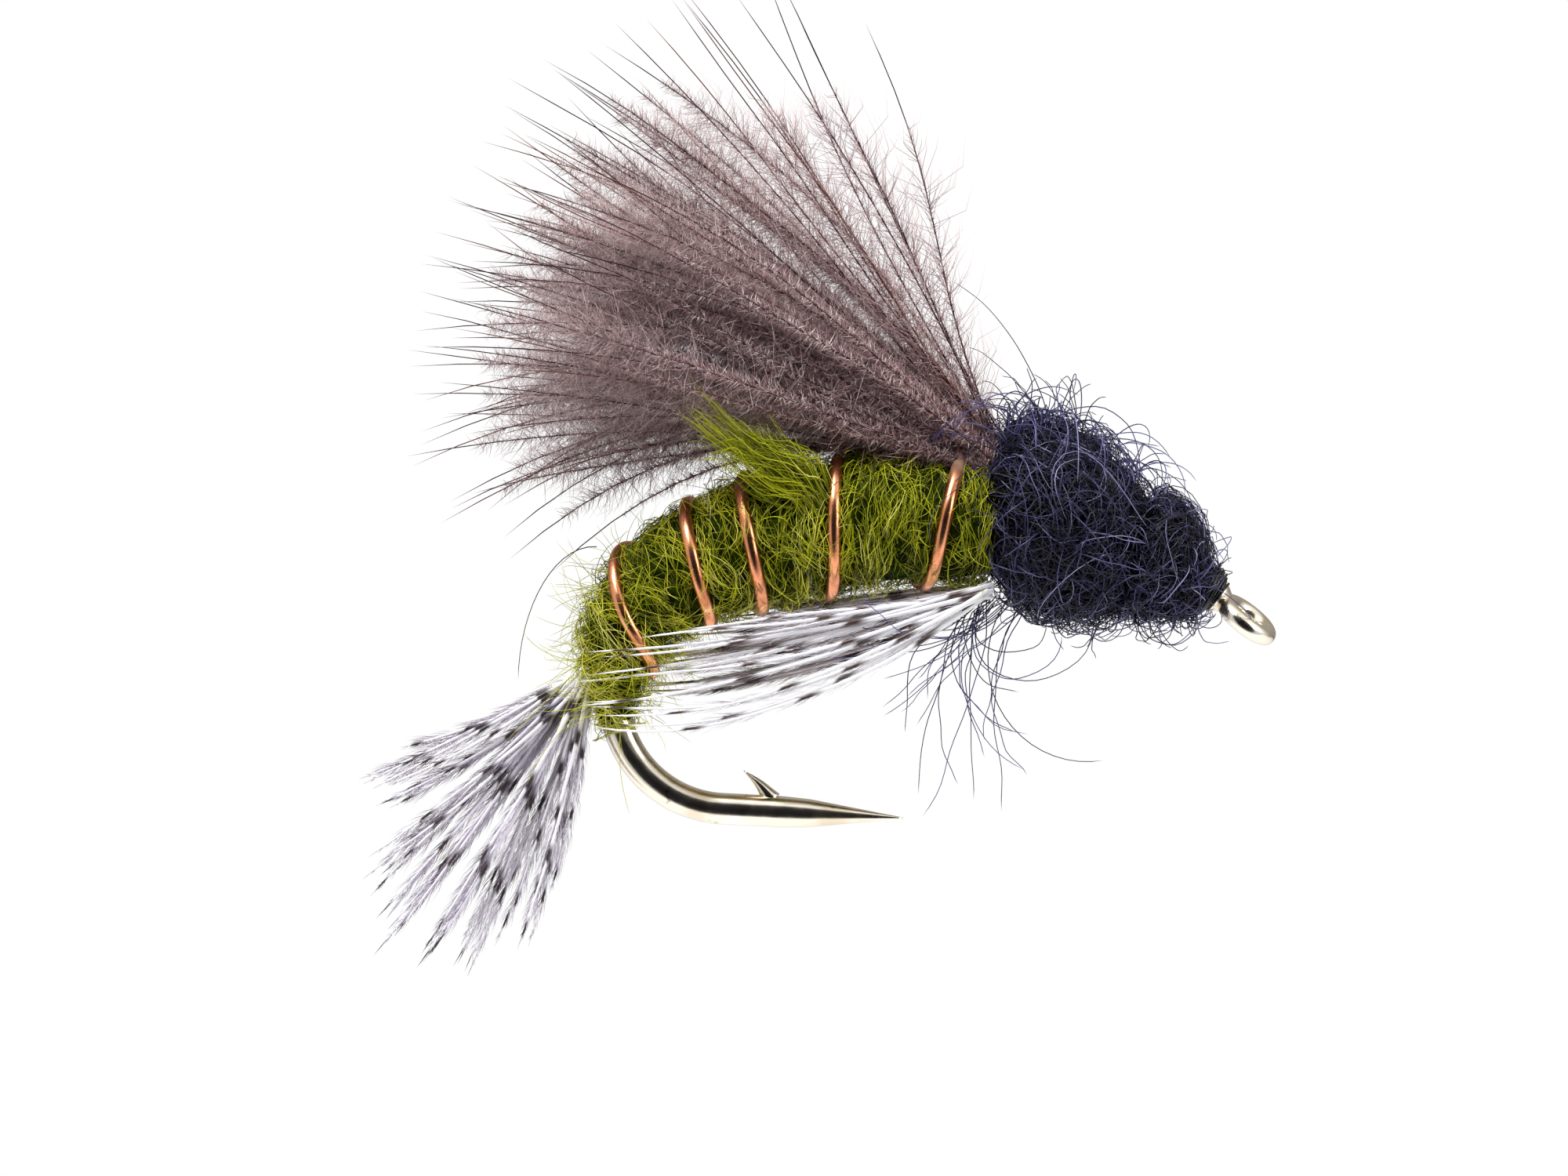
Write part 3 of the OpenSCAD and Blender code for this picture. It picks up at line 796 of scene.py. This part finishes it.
def make_abdomen_flyaways(material):
    """Thin pale olive hairs that stand clear of the abdomen, most of them at its rear and below it."""
    rng = np.random.default_rng(22)
    part = Part()
    count = 900
    rear = rng.uniform(0, 1, count) < 0.5
    s = np.where(rear, rng.uniform(10.2, 12.9, count), rng.uniform(4.4, 12.5, count))
    start = on_body(ABDOMEN, s, rng.uniform(0, 2 * np.pi, count), -0.03)
    centre, heading, _ = wire(s)
    out = unit(start - centre)
    across = np.cross(heading, out)
    way = out * rng.uniform(0.15, 0.9, (count, 1)) + across * rng.normal(0, 0.8, (count, 1))
    way = unit(way + heading * rng.normal(0.25, 0.5, (count, 1)))
    turn = rng.normal(0, 1.6, count)
    length = rng.uniform(0.35, 1.15, count) * np.where(rear, 1.1, 0.9)
    axis = rng.normal(0, 1, (count, 3))
    paths = free_hairs(start, way, axis, turn, rng.normal(0, 0.2, count), length, 8)
    tone = np.where(rear, rng.uniform(0.5, 1.0, count), rng.uniform(0.25, 0.95, count))
    part.strands(paths, taper(0.0085, 8), tone)
    count = 16
    start = on_body(ABDOMEN, rng.uniform(11.6, 12.7, count), rng.uniform(0.4, 2.6, count), -0.03)
    way = polar(rng.normal(218, 22, count), rng.normal(8, 10, count))
    axis = NEAR + rng.normal(0, 0.3, (count, 3))
    turn = rng.normal(0, 0.9, count)
    drift = rng.normal(0, 0.2, count)
    paths = free_hairs(start, way, axis, turn, drift, rng.uniform(0.9, 2.2, count), 12)
    part.strands(paths, taper(0.0105, 12, 0.5), rng.uniform(0.6, 0.95, count))
    t = np.linspace(0, 1, 16)[:, None]
    weights = ((1 - t) ** 3, 3 * t * (1 - t) ** 2, 3 * t ** 2 * (1 - t), t ** 3)
    stray = sum(weight * point for weight, point in zip(weights, STRAY))
    part.strands(stray[None], taper(0.0125, 16, 0.6), np.zeros(1))
    part.make("abdomen_flyaways", material, "olive_dubbing")


# The twisted strands of the tuft: fibres, pitch, reach, shift of their start, and size of their wave.
TUFT_STRANDS = [
    (90, 145, 3.1, 0.0, 0.11),
    (80, 148, 2.6, -0.14, 0.13),
    (60, 139, 2.3, 0.16, 0.12),
]


def make_tuft(material):
    """The lock of dubbing that escaped from the abdomen's near side, twisted and swept back."""
    rng = np.random.default_rng(23)
    part = Part()
    stations = 14
    t = shares(stations)
    for count, pitch, reach, shift, wave in TUFT_STRANDS:
        length = reach * rng.uniform(0.55, 1.08, count)
        start = TUFT_ROOT + rng.normal(0, 1, (count, 3)) * [0.11, 0.06, 0.11] - [0.0, -0.15, 0.2]
        start = start + np.array([0.6, 0.0, 0.8]) * shift
        way = polar(rng.normal(pitch, 3.0, count), rng.normal(9, 2.5, count))
        paths = start[:, None] + way[:, None] * length[:, None, None] * t
        paths[..., 2] += 0.22 * np.sin(np.pi * t[..., 0])
        roll = 2 * np.pi * (rng.uniform(0, 1) + 1.6 * t[..., 0])
        paths[..., 0] += wave * 0.5 * np.sin(roll)
        paths[..., 2] += wave * np.cos(roll)
        spread = rng.normal(0, 1, (count, 1, 3)) * [0.1, 0.09, 0.11]
        paths += spread * t ** 0.8 + sway(rng, count, stations, 0.06)
        part.strands(paths, taper(0.0135, stations, 0.4), np.clip(rng.normal(0.5, 0.24, count), 0, 1))
    part.make("dubbing_tuft_lock", material, "olive_dubbing", ["dubbing_tuft"])


def add_curls(rng, part, body, count, base, rise, radius, curls, lengths):
    """Adds curly fibres that lie close over a fur body. curls holds their least and greatest turn per mm."""
    stations = 13
    t = np.linspace(0, 1, stations)
    s, phi = spots(rng, body, count)
    n = len(s)
    course = rng.uniform(0, 2 * np.pi, n)
    curl = rng.choice([-1.0, 1.0], n) * rng.uniform(*curls, n)
    length = rng.uniform(*lengths, n)
    arch = rng.uniform(*rise, (n, 1)) * np.sin(np.pi * t) ** rng.uniform(0.7, 1.4, (n, 1)) - 0.04
    height = base - hollow(body, s, phi)[:, None] + arch
    paths = surface_walks(rng, body, s, phi, course, curl, length, height)
    paths += sway(rng, n, stations, 0.035)
    # A tenth of the curls take the palette's pale end: painted glints on the black fur.
    bright = rng.uniform(0, 1, n) < 0.1
    tone = np.where(bright, rng.uniform(0.75, 1, n), rng.beta(1.2, 2.1, n))
    part.strands(paths, taper(radius, stations, 0.6), tone)


def add_loops(rng, part, body, count, stretch, aim, spread, bends, turns, radius, tones, lean):
    """Adds hairs that stand out of a fur body and bend back to it in open loops. A few bend outwards."""
    stations = 18
    s = rng.uniform(*stretch, count)
    phi = np.radians(rng.normal(aim, spread, count))
    start = on_body(body, s, phi, -0.1 - hollow(body, s, phi))
    centre, heading, _ = wire(s)
    out = unit(start - centre)
    across = np.cross(heading, out)
    turn = rng.uniform(0, 2 * np.pi, (count, 1))
    level = heading * np.cos(turn) + across * np.sin(turn)
    way = unit(out * rng.uniform(0.5, 1.2, (count, 1)) + level * rng.uniform(*lean, (count, 1)))
    axis = unit(np.cross(way, -out)) + rng.normal(0, 0.22, (count, 3))
    bend = rng.uniform(*turns, count)
    bend = bend * np.where(rng.uniform(0, 1, count) < 0.15, -0.5, 1.0)
    length = np.abs(bend) * rng.uniform(*bends, count)
    paths = free_hairs(start, way, axis, bend, rng.normal(0, 0.15, count), length, stations)
    paths += sway(rng, count, stations, 0.03)
    part.strands(paths, taper(radius, stations, 0.6), rng.uniform(*tones, count))


# Three sets of hairs picked out below: hairs, least and greatest turn, and least and greatest length.
PICKED_HAIRS = [
    (16, (0.1, 0.8), (2.2, 4.2)),
    (11, (0.8, 2.2), (2.2, 4.2)),
    (7, (2.4, 4.4), (2.4, 4.4)),
]


def add_picked(rng, part, start, way, turn, length, wander, radii):
    """Adds long black hairs that curve mostly in the plane of the side view."""
    count = len(start)
    axis = NEAR + rng.normal(0, 0.35, (count, 3))
    paths = free_hairs(start, way, axis, turn, rng.normal(0, 0.2, count), length, len(radii))
    paths += sway(rng, count, len(radii), wander)
    part.strands(paths, radii, rng.uniform(0.6, 0.9, count))


def make_picked_hairs(material):
    """Long black hairs picked out below the thorax, and the ones that arch back over the wing's root."""
    rng = np.random.default_rng(33)
    part = Part()
    for count, swing, reach in PICKED_HAIRS:
        start = np.array([-4.4, 0.0, 0.3]) + rng.uniform(-1, 1, (count, 3)) * [0.6, 0.7, 0.15]
        way = polar(rng.normal(232, 18, count), rng.normal(0, 14, count))
        turn = rng.choice([-1, 1], count) * rng.uniform(*swing, count)
        add_picked(rng, part, start, way, turn, rng.uniform(*reach, count), 0.08, taper(0.0142, 20, 0.6))
    count = 16
    s = rng.uniform(3.5, 4.3, count)
    start = on_body(THORAX, s, np.radians(rng.normal(8, 45, count)), -0.05)
    way = polar(rng.normal(112, 26, count), rng.normal(6, 20, count))
    turn = rng.uniform(0.4, 2.6, count)
    add_picked(rng, part, start, way, turn, rng.uniform(0.9, 3.2, count), 0.06, taper(0.0135, 20, 0.5))
    part.make("picked_hairs", material, "black_dubbing", ["picked_out_hairs"])


# Layers of curls on the thorax and the head: fibres, base, rise, radius, turn per mm, and length.
THORAX_CURLS = [
    (1350, -0.2, (0.0, 0.18), 0.0122, (0.9, 2.8), (0.5, 2.4)),
    (620, -0.12, (0.1, 0.34), 0.0108, (0.3, 1.6), (1.1, 3.4)),
]
HEAD_CURLS = [
    (820, -0.16, (0.0, 0.14), 0.0125, (0.8, 3.2), (0.4, 1.7)),
    (290, -0.12, (0.08, 0.26), 0.011, (0.4, 2.0), (0.8, 2.2)),
]
# Open loops on top of them: hairs, stretch of the wire, aim and its spread in degrees from the outer side,
# least and greatest bend radius and turn, hair radius, tones, and how far they lean from upright.
# Their upper tones paint blue-grey sheen on the hairs.
THORAX_LOOPS = [
    (190, (1.8, 4.3), 80, 75, (0.2, 0.6), (1.2, 3.6), 0.0108, (0.2, 0.8), (0.2, 1.0)),
    (80, (2.1, 4.2), 0, 42, (0.2, 0.5), (1.8, 4.6), 0.0128, (0.4, 0.85), (0.2, 1.0)),
    (60, (2.2, 4.35), 0, 30, (0.4, 0.82), (1.9, 3.6), 0.0142, (0.55, 0.88), (0.2, 1.0)),
    (74, (2.0, 4.3), 0, 30, (0.26, 0.62), (2.2, 4.6), 0.0145, (0.6, 0.92), (0.0, 0.4)),
    (46, (2.2, 4.35), 0, 26, (0.5, 1.1), (1.3, 3.2), 0.0145, (0.6, 0.92), (0.0, 0.45)),
    (60, (2.5, 4.35), 0, 26, (0.2, 0.44), (2.5, 4.8), 0.014, (0.55, 0.92), (0.0, 0.3)),
    (78, (1.7, 4.0), 180, 40, (0.24, 0.6), (1.5, 4.2), 0.0136, (0.5, 0.88), (0.2, 1.0)),
    (28, (1.8, 4.1), 180, 35, (0.3, 0.7), (2.0, 4.8), 0.0136, (0.6, 0.92), (0.0, 0.5)),
]
HEAD_LOOPS = [
    (150, (0.5, 1.7), 90, 120, (0.12, 0.32), (1.4, 3.8), 0.0115, (0.4, 1.0), (0.2, 1.0)),
    (80, (0.3, 1.5), 180, 45, (0.14, 0.42), (1.6, 5.0), 0.0132, (0.5, 1.0), (0.2, 1.0)),
    (34, (0.28, 0.7), 140, 70, (0.12, 0.3), (1.6, 5.0), 0.0125, (0.4, 0.9), (0.2, 1.0)),
    (44, (0.5, 1.7), 175, 40, (0.2, 0.55), (2.0, 5.0), 0.0136, (0.6, 1.0), (0.0, 0.4)),
    (22, (0.26, 0.6), 120, 50, (0.2, 0.55), (1.2, 3.6), 0.0128, (0.5, 0.95), (0.1, 0.8)),
]


def make_curls(name, body, seed, curls, loops, material):
    """The loose fur of a body: close curls under open loops."""
    rng = np.random.default_rng(seed)
    part = Part()
    for layer in curls:
        add_curls(rng, part, body, *layer)
    for layer in loops:
        add_loops(rng, part, body, *layer)
    part.make(name, material, "black_dubbing")


def make_black_fur(fibres, core):
    """Thorax and head: packed cores and their curls. Thorax loops stand tallest on top and hang below."""
    make_core("thorax_core", "thorax_dubbing", THORAX, 0.24, 0.08, 31, core, "black_dubbing")
    make_core("head_core", "head_dubbing", HEAD, 0.2, 0.06, 32, core, "black_dubbing")
    make_curls("thorax_curls", THORAX, 34, THORAX_CURLS, THORAX_LOOPS, fibres)
    make_curls("head_curls", HEAD, 35, HEAD_CURLS, HEAD_LOOPS, fibres)
    make_picked_hairs(fibres)


# ---------------------------------------------------------------- feathers


def barb_fan(rng, root, tips, bow, stations, wander):
    """Curved barbs from a root to tips, bowed to one side by bow."""
    t = shares(stations)
    paths = root[:, None] + (tips - root)[:, None] * t + bow[:, None] * 4 * t * (1 - t)
    return paths + sway(rng, len(tips), stations, wander, (0.3, 0.9))


def pick_along(paths, share):
    """Points, tangents and two side vectors at shares of the paths' lengths, in a row for each path."""
    k = paths.shape[1]
    place = np.clip(share, 0, 1) * (k - 1)
    low = np.clip(place.astype(int), 0, k - 2)
    rest = (place - low)[..., None]
    row = np.arange(len(paths))[:, None]
    fields = (paths,) + carried_frames(paths)
    return [field[row, low] * (1 - rest) + field[row, low + 1] * rest for field in fields]


def barbules(rng, part, paths, each, reach, lengths, opening, radius, tones, crowd=1.0, flat=False,
             kinked=True):
    """Fine barbules round the barbs, between two shares of their length.

    opening holds their angle to the barb at the root, at the tip, and its spread. tones holds the tone of
    every barbule's root and tip. crowd above 1 puts more of them far out. flat keeps them in the feather's
    plane, and kinked gives them a bend in the middle."""
    n = len(paths)
    share = reach[0] + (reach[1] - reach[0]) * rng.uniform(0, 1, (n, each)) ** (1 / crowd)
    point, along, side, over = pick_along(paths, share)
    turn = rng.uniform(0, 2 * np.pi, (n, each))
    if flat:
        turn = np.pi * rng.integers(0, 2, (n, each)) + rng.normal(0, 0.35, (n, each))
    fade = np.clip((reach[1] - share) / (0.15 * (reach[1] - reach[0])), 0.3, 1)
    size = (rng.uniform(*lengths, (n, each)) * fade)[..., None]
    stations = [point]
    for angle, bent in zip(opening[:2], (0.0, 0.7)):
        lean = np.radians(rng.normal(angle, opening[2], (n, each)))[..., None]
        swing = turn + rng.normal(0, bent, (n, each))
        out = side * np.cos(swing)[..., None] + over * np.sin(swing)[..., None]
        step = size * (0.5 if kinked else 1.0)
        stations.append(stations[-1] + (along * np.cos(lean) + out * np.sin(lean)) * step)
    stations = stations if kinked else stations[:2]
    fibres = np.stack(stations, 2).reshape(-1, len(stations), 3)
    radii = np.array([radius, radius * 0.85, 0.0] if kinked else [radius, 0.0])
    where = share.reshape(-1)
    part.strands(fibres, radii, tones[0], tones[1], (where, np.clip(where + BARBULE_U, 0, 1)))


# Tips of the wing: pitch from the root, and how far they reach.
WING_REACH = np.array([
    [106, 7.6], [110, 8.0], [116, 9.05], [124.5, 9.6], [133, 10.2], [141, 10.4], [155, 10.35], [165, 10.1],
    [180, 9.95], [186, 9.7], [193, 9.0],
])
# Each wing feather: lowest and highest pitch, side, barbs, and a barb's long and short barbules and specks.
# The specks are painted glints.
WING_FEATHERS = [
    (110, 138, 1, 13, 170, 130, 30),
    (134, 158, -1, 35, 540, 940, 300),
    (145, 174, 1, 35, 540, 940, 300),
    (159, 190, -1, 37, 500, 880, 300),
]
# Each pair below is for the thin front feather and for the three full ones: the share of outer barbs, how
# much shorter a barb may be, how much the bends differ, and how far out the short barbules go.
OUTER_SHARE = (0.0, 0.32)
SHORTENING = (0.08, 0.28)
BEND_SPREAD = (0.16, 0.42)
SHORT_REACH = (0.6, 0.82)
# So are the hazes of long barbules: reach along the barb, lengths, opening, radius and crowding.
HAZES = [
    ((0.05, 0.76), (0.4, 1.7), (42, 26, 20), 0.0054, 1.3),
    ((0.05, 0.88), (0.35, 1.3), (66, 48, 22), 0.0044, 2.3),
]
WING_GATHER = np.array([-4.2, 0.0, 2.65])


def random_tones(rng, count, root, tip):
    """Random tones for the roots and tips of count barbules, each between two values."""
    return rng.uniform(*root, count), rng.uniform(*tip, count)


def blend_joint(piece):
    """Bakes a bunch's placement into its mesh."""
    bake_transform(piece)


def make_wing_feather(i, material):
    """One soft wing feather: a fan of barbs, each a rope of short barbules in a haze of long ones."""
    low, high, side, count, long, short, specks = WING_FEATHERS[i]
    full = min(i, 1)
    rng = np.random.default_rng(41 + i)
    part = Part()
    stations = 14
    pitch = np.linspace(low, high, count) + rng.normal(0, 2.4, count)
    outer = rng.uniform(0, 1, count) < OUTER_SHARE[full]
    yaw = side * np.where(outer, rng.uniform(12, 17, count), rng.normal(6.5, 3.8, count))
    shorter = 1.05 - SHORTENING[full] * rng.beta(1.0, 2.2, count)
    length = np.interp(pitch, WING_REACH[:, 0], WING_REACH[:, 1]) * shorter
    drop = np.interp(pitch, [111, 150, 190], [0.05, -0.08, -0.42])
    root = WING_GATHER + np.stack([0.1 * rng.normal(0, 1, count), -side * rng.uniform(0.0, 0.45, count),
                                   drop + 0.12 * rng.normal(0, 1, count)], -1)
    tips = WING_ROOT + polar(pitch, yaw) * length[:, None]
    bend = np.interp(pitch, [108, 125, 150, 165, 178, 190], [0.08, 0.08, 0.22, 0.55, 1.0, 1.4])
    bend = bend + rng.normal(0, BEND_SPREAD[full], count)
    paths = barb_fan(rng, root, tips, polar(pitch - 90, 0.0) * bend[:, None], stations, 0.15)
    warm = rng.uniform(0, 1, count) < 0.16 + 0.2 * outer
    part.strands(paths, taper(0.0235, stations, 0.48), np.where(warm, 0.25, rng.uniform(0.0, 0.18, count)))
    # Short barbules are darker at the root and paler at the tip: painted shade deep in each barb and painted
    # highlights on the tips.
    tones = random_tones(rng, count * short, (0.28, 0.46), (0.36, 0.8))
    barbules(rng, part, paths, short, (0.02, SHORT_REACH[full]), (0.12, 0.36), (62, 62, 18), 0.0062, tones,
             kinked=False)
    # Specks take the palest tones, up to white: painted glints on the down.
    tones = random_tones(rng, count * specks, (0.6, 0.95), (0.95, 1.0))
    barbules(rng, part, paths, specks, (0.02, 0.74), (0.08, 0.3), (58, 58, 26), 0.0105, tones, kinked=False)
    inner = paths[~outer]
    haze = Part()
    reach, lengths, opening, radius, crowd = HAZES[full]
    tones = random_tones(rng, len(inner) * long, (0.34, 0.7), (0.5, 1.0))
    barbules(rng, haze, inner, long, reach, lengths, opening, radius, tones, crowd)
    for name, mesh in (("wing_barbs", part), ("wing_down", haze)):
        piece = mesh.make(f"{name}_{i + 1}", material, "grey_feather", [f"wing_feather_{i + 1}"], None)
        blend_joint(piece)


# Each bunch of tail fibres: name, node, and for its barbs the pitch, reach and number.
TAIL_BUNCHES = [
    ("tail_barbs_upper", "tail_fibres_upper", ((200, 3.7, 2), (206, 4.35, 4), (211, 4.3, 3), (221, 5.2, 4))),
    ("tail_barbs_middle", "tail_fibres_middle", ((225, 5.3, 4), (233, 6.0, 7), (241, 5.9, 6))),
    ("tail_barbs_lower", "tail_fibres_lower", ((248, 5.6, 6), (254, 4.9, 4), (259, 4.8, 3), (263, 3.8, 2))),
]


def add_barred(rng, part, paths, tone, each, reach, opening, radius):
    """Adds barred barbs and their barbules, which take the same tone in their own half of the scale."""
    tone = np.clip(tone, 0.03, 0.97)
    part.strands(paths, taper(0.053, paths.shape[1], 0.3), 0.5 + 0.5 * tone, sides=5)
    own = 0.5 * np.repeat(tone, each)
    barbules(rng, part, paths, each, reach, (0.25, 0.6), opening, radius, (own, own), flat=True)


def make_tail_bunch(i, material):
    """One bunch of barred tail fibres with their short, soft barbules."""
    name, node, fans = TAIL_BUNCHES[i]
    rng = np.random.default_rng(51 + i)
    part = Part()
    for pitch, reach, count in fans:
        turn = rng.normal(pitch, 1.6, count)
        length = reach * rng.uniform(0.86, 1.0, count)
        tips = TAIL_ROOT + polar(turn, rng.normal(0, 5.5, count)) * length[:, None]
        root = TAIL_ROOT + rng.uniform(-1, 1, (count, 3)) * [0.12, 0.16, 0.1] + [0.25, 0.0, 0.3]
        bow = polar(turn + 90, 0.0) * rng.normal(0.1, 0.08, count)[:, None]
        paths = barb_fan(rng, root, tips, bow, 14, 0.03)
        tone = rng.uniform(0.05, 0.95) + rng.normal(0, 0.02, count)
        add_barred(rng, part, paths, tone, 150, (0.06, 0.95), (16, 9, 5), 0.0058)
    piece = part.make(name, material, "barred_feather", [node], None)
    blend_joint(piece)


def make_legs(side, name, node, seed, count, each, aim, material):
    """The leg fibres of one side, swept back under the abdomen. side is -1 on the near side."""
    rng = np.random.default_rng(seed)
    part = Part()
    outer = LEG_ROOT * [1, side, 1]
    pitch = np.linspace(aim[0], aim[1], count) + rng.normal(0, 0.8, count)
    length = np.interp(pitch, [184, 190, 199], [4.6, 7.4, 7.2]) * (1.0 - 0.3 * rng.beta(0.8, 2.0, count))
    yaw = -side * rng.normal(5, 2.2, count)
    root = outer + rng.uniform(-1, 1, (count, 3)) * [0.1, 0.12, 0.12] + [0.35, 0.0, 0.1]
    tips = outer + polar(pitch, yaw) * length[:, None]
    sag = np.interp(pitch, [187, 199], [0.06, 0.66]) * rng.uniform(0.8, 1.2, count)
    paths = barb_fan(rng, root, tips, -UP * sag[:, None], 16, 0.06)
    tone = np.linspace(0.1, 0.9, count) + rng.normal(0, 0.03, count)
    add_barred(rng, part, paths, tone, each, (0.04, 0.8), (13, 8, 4), 0.0056)
    piece = part.make(name, material, "barred_feather", [node], None)
    blend_joint(piece)


# ---------------------------------------------------------------- the whole fly


def make_fly():
    """Every piece of the fly, from the hook outwards."""
    make_hook(nickel_material())
    make_threads(thread_material())
    olive = fibre_material("olive_fibre")
    down = fibre_material("soft_feather")
    barred = barred_material("barred_feather")
    # The olive core is coloured far darker than its fibres: painted shade in the gaps between the locks.
    make_core("abdomen_core", "abdomen_dubbing", ABDOMEN, 0.07, 0.07, 20,
              core_material("olive_core_shaded", "1a2202", "3c4c06"), "olive_dubbing")
    make_abdomen_fibres(olive)
    make_abdomen_flyaways(olive)
    make_tuft(olive)
    make_rib(copper_material())
    make_wing_butts(down)
    make_black_fur(fibre_material("black_fibre"), core_material("black_core", "050509", "15161f"))
    for i in range(len(WING_FEATHERS)):
        make_wing_feather(i, down)
    for i in range(len(TAIL_BUNCHES)):
        make_tail_bunch(i, barred)
    make_legs(-1, "leg_barbs_near", "leg_fibres_near", 61, 15, 150, (187.5, 198.5),
              barred_material("leg_feather"))
    # The far legs take a darker copy of the near legs' colours: painted shade.
    make_legs(1, "leg_barbs_far", "leg_fibres_far", 62, 17, 380, (182.5, 196),
              barred_material("far_leg_feather_shaded"))


# ---------------------------------------------------------------- stage


# Strength of the surroundings. The white that the camera sees is divided by it, so that it stays plain.
GLOW = 1.15
# What the camera's frame is centred on, its distance, and the frame's width there.
VIEW_CENTRE = (-8.26, 0.0, 0.56)
VIEW_DISTANCE = 180.0
VIEW_WIDTH = 28.0


def make_floor():
    """A plain pale floor, well below the fly. Its sizes are in metres."""
    half = 0.25
    front = -0.05
    drop = -0.06
    mesh = bpy.data.meshes.new("floor")
    corners = [(-half, front, drop), (half, front, drop), (half, half, drop), (-half, half, drop)]
    mesh.from_pydata(corners, [], [(0, 1, 2, 3)])
    material, _, shader = start_material("pale_floor", 0.9, specular=0.1)
    feed(shader, "Base Color", (0.9, 0.9, 0.92, 1.0))
    mesh.materials.append(material)
    floor = bpy.data.objects.new("floor", mesh)
    bpy.context.scene.collection.objects.link(floor)


def make_world():
    """White surroundings, with a dark opening towards the near side that bright metal mirrors."""
    world = bpy.data.worlds.new("studio")
    bpy.context.scene.world = world
    world.use_nodes = True
    tree = world.node_tree
    _, y, z = split(tree, tree.nodes.new("ShaderNodeTexCoord").outputs["Generated"])
    depth = add_math(tree, "MULTIPLY_ADD", y, -0.5, 0.5)
    height = add_math(tree, "MULTIPLY_ADD", z, 0.5, 0.5)
    ring = add_ramp(tree, depth, [(0.3, "a9a49b"), (0.5, "ffffff"), (0.83, "ffffff"), (0.88, "24222a"),
                                  (1.0, "18171c")])
    above = add_ramp(tree, height, [(0.1, "c8c8cc"), (0.5, "d8d8dc"), (0.9, "ffffff")])
    glow = add_mix(tree, "MULTIPLY", 1.0, ring, above)
    seen = tree.nodes.new("ShaderNodeLightPath")
    white = tree.nodes.new("ShaderNodeRGB")
    white.outputs[0].default_value = (1 / GLOW, 1 / GLOW, 1 / GLOW, 1.0)
    background = tree.nodes["Background"]
    feed(background, "Color", add_mix(tree, "MIX", seen.outputs["Is Camera Ray"], glow, white.outputs[0]))
    feed(background, "Strength", GLOW)


def make_light(name, place, size, power):
    """A soft square light that faces the fly."""
    light = bpy.data.lights.new(name, "AREA")
    light.size = size * MM
    light.energy = power
    lamp = bpy.data.objects.new(name, light)
    bpy.context.scene.collection.objects.link(lamp)
    lamp.location = Vector(place) * MM
    aim = Vector(VIEW_CENTRE) - Vector(place)
    lamp.rotation_euler = aim.to_track_quat("-Z", "Y").to_euler()
    lamp.visible_camera = False


def make_camera():
    """The camera, which looks along +Y."""
    camera = bpy.data.cameras.new("camera")
    camera.sensor_width = 36.0
    camera.lens = camera.sensor_width * VIEW_DISTANCE / VIEW_WIDTH
    camera.clip_start = 0.01
    camera.clip_end = 10.0
    holder = bpy.data.objects.new("camera", camera)
    holder.location = (np.array(VIEW_CENTRE) + NEAR * VIEW_DISTANCE) * MM
    holder.rotation_euler = (math.pi / 2, 0.0, 0.0)
    bpy.context.scene.collection.objects.link(holder)
    bpy.context.scene.camera = holder


make_fly()
make_floor()
make_world()
make_light("key", (-70, -90, 190), 120, 0.55)
make_light("fill", (190, -100, 60), 120, 0.2)
make_camera()
bpy.context.scene.view_settings.view_transform = "Standard"
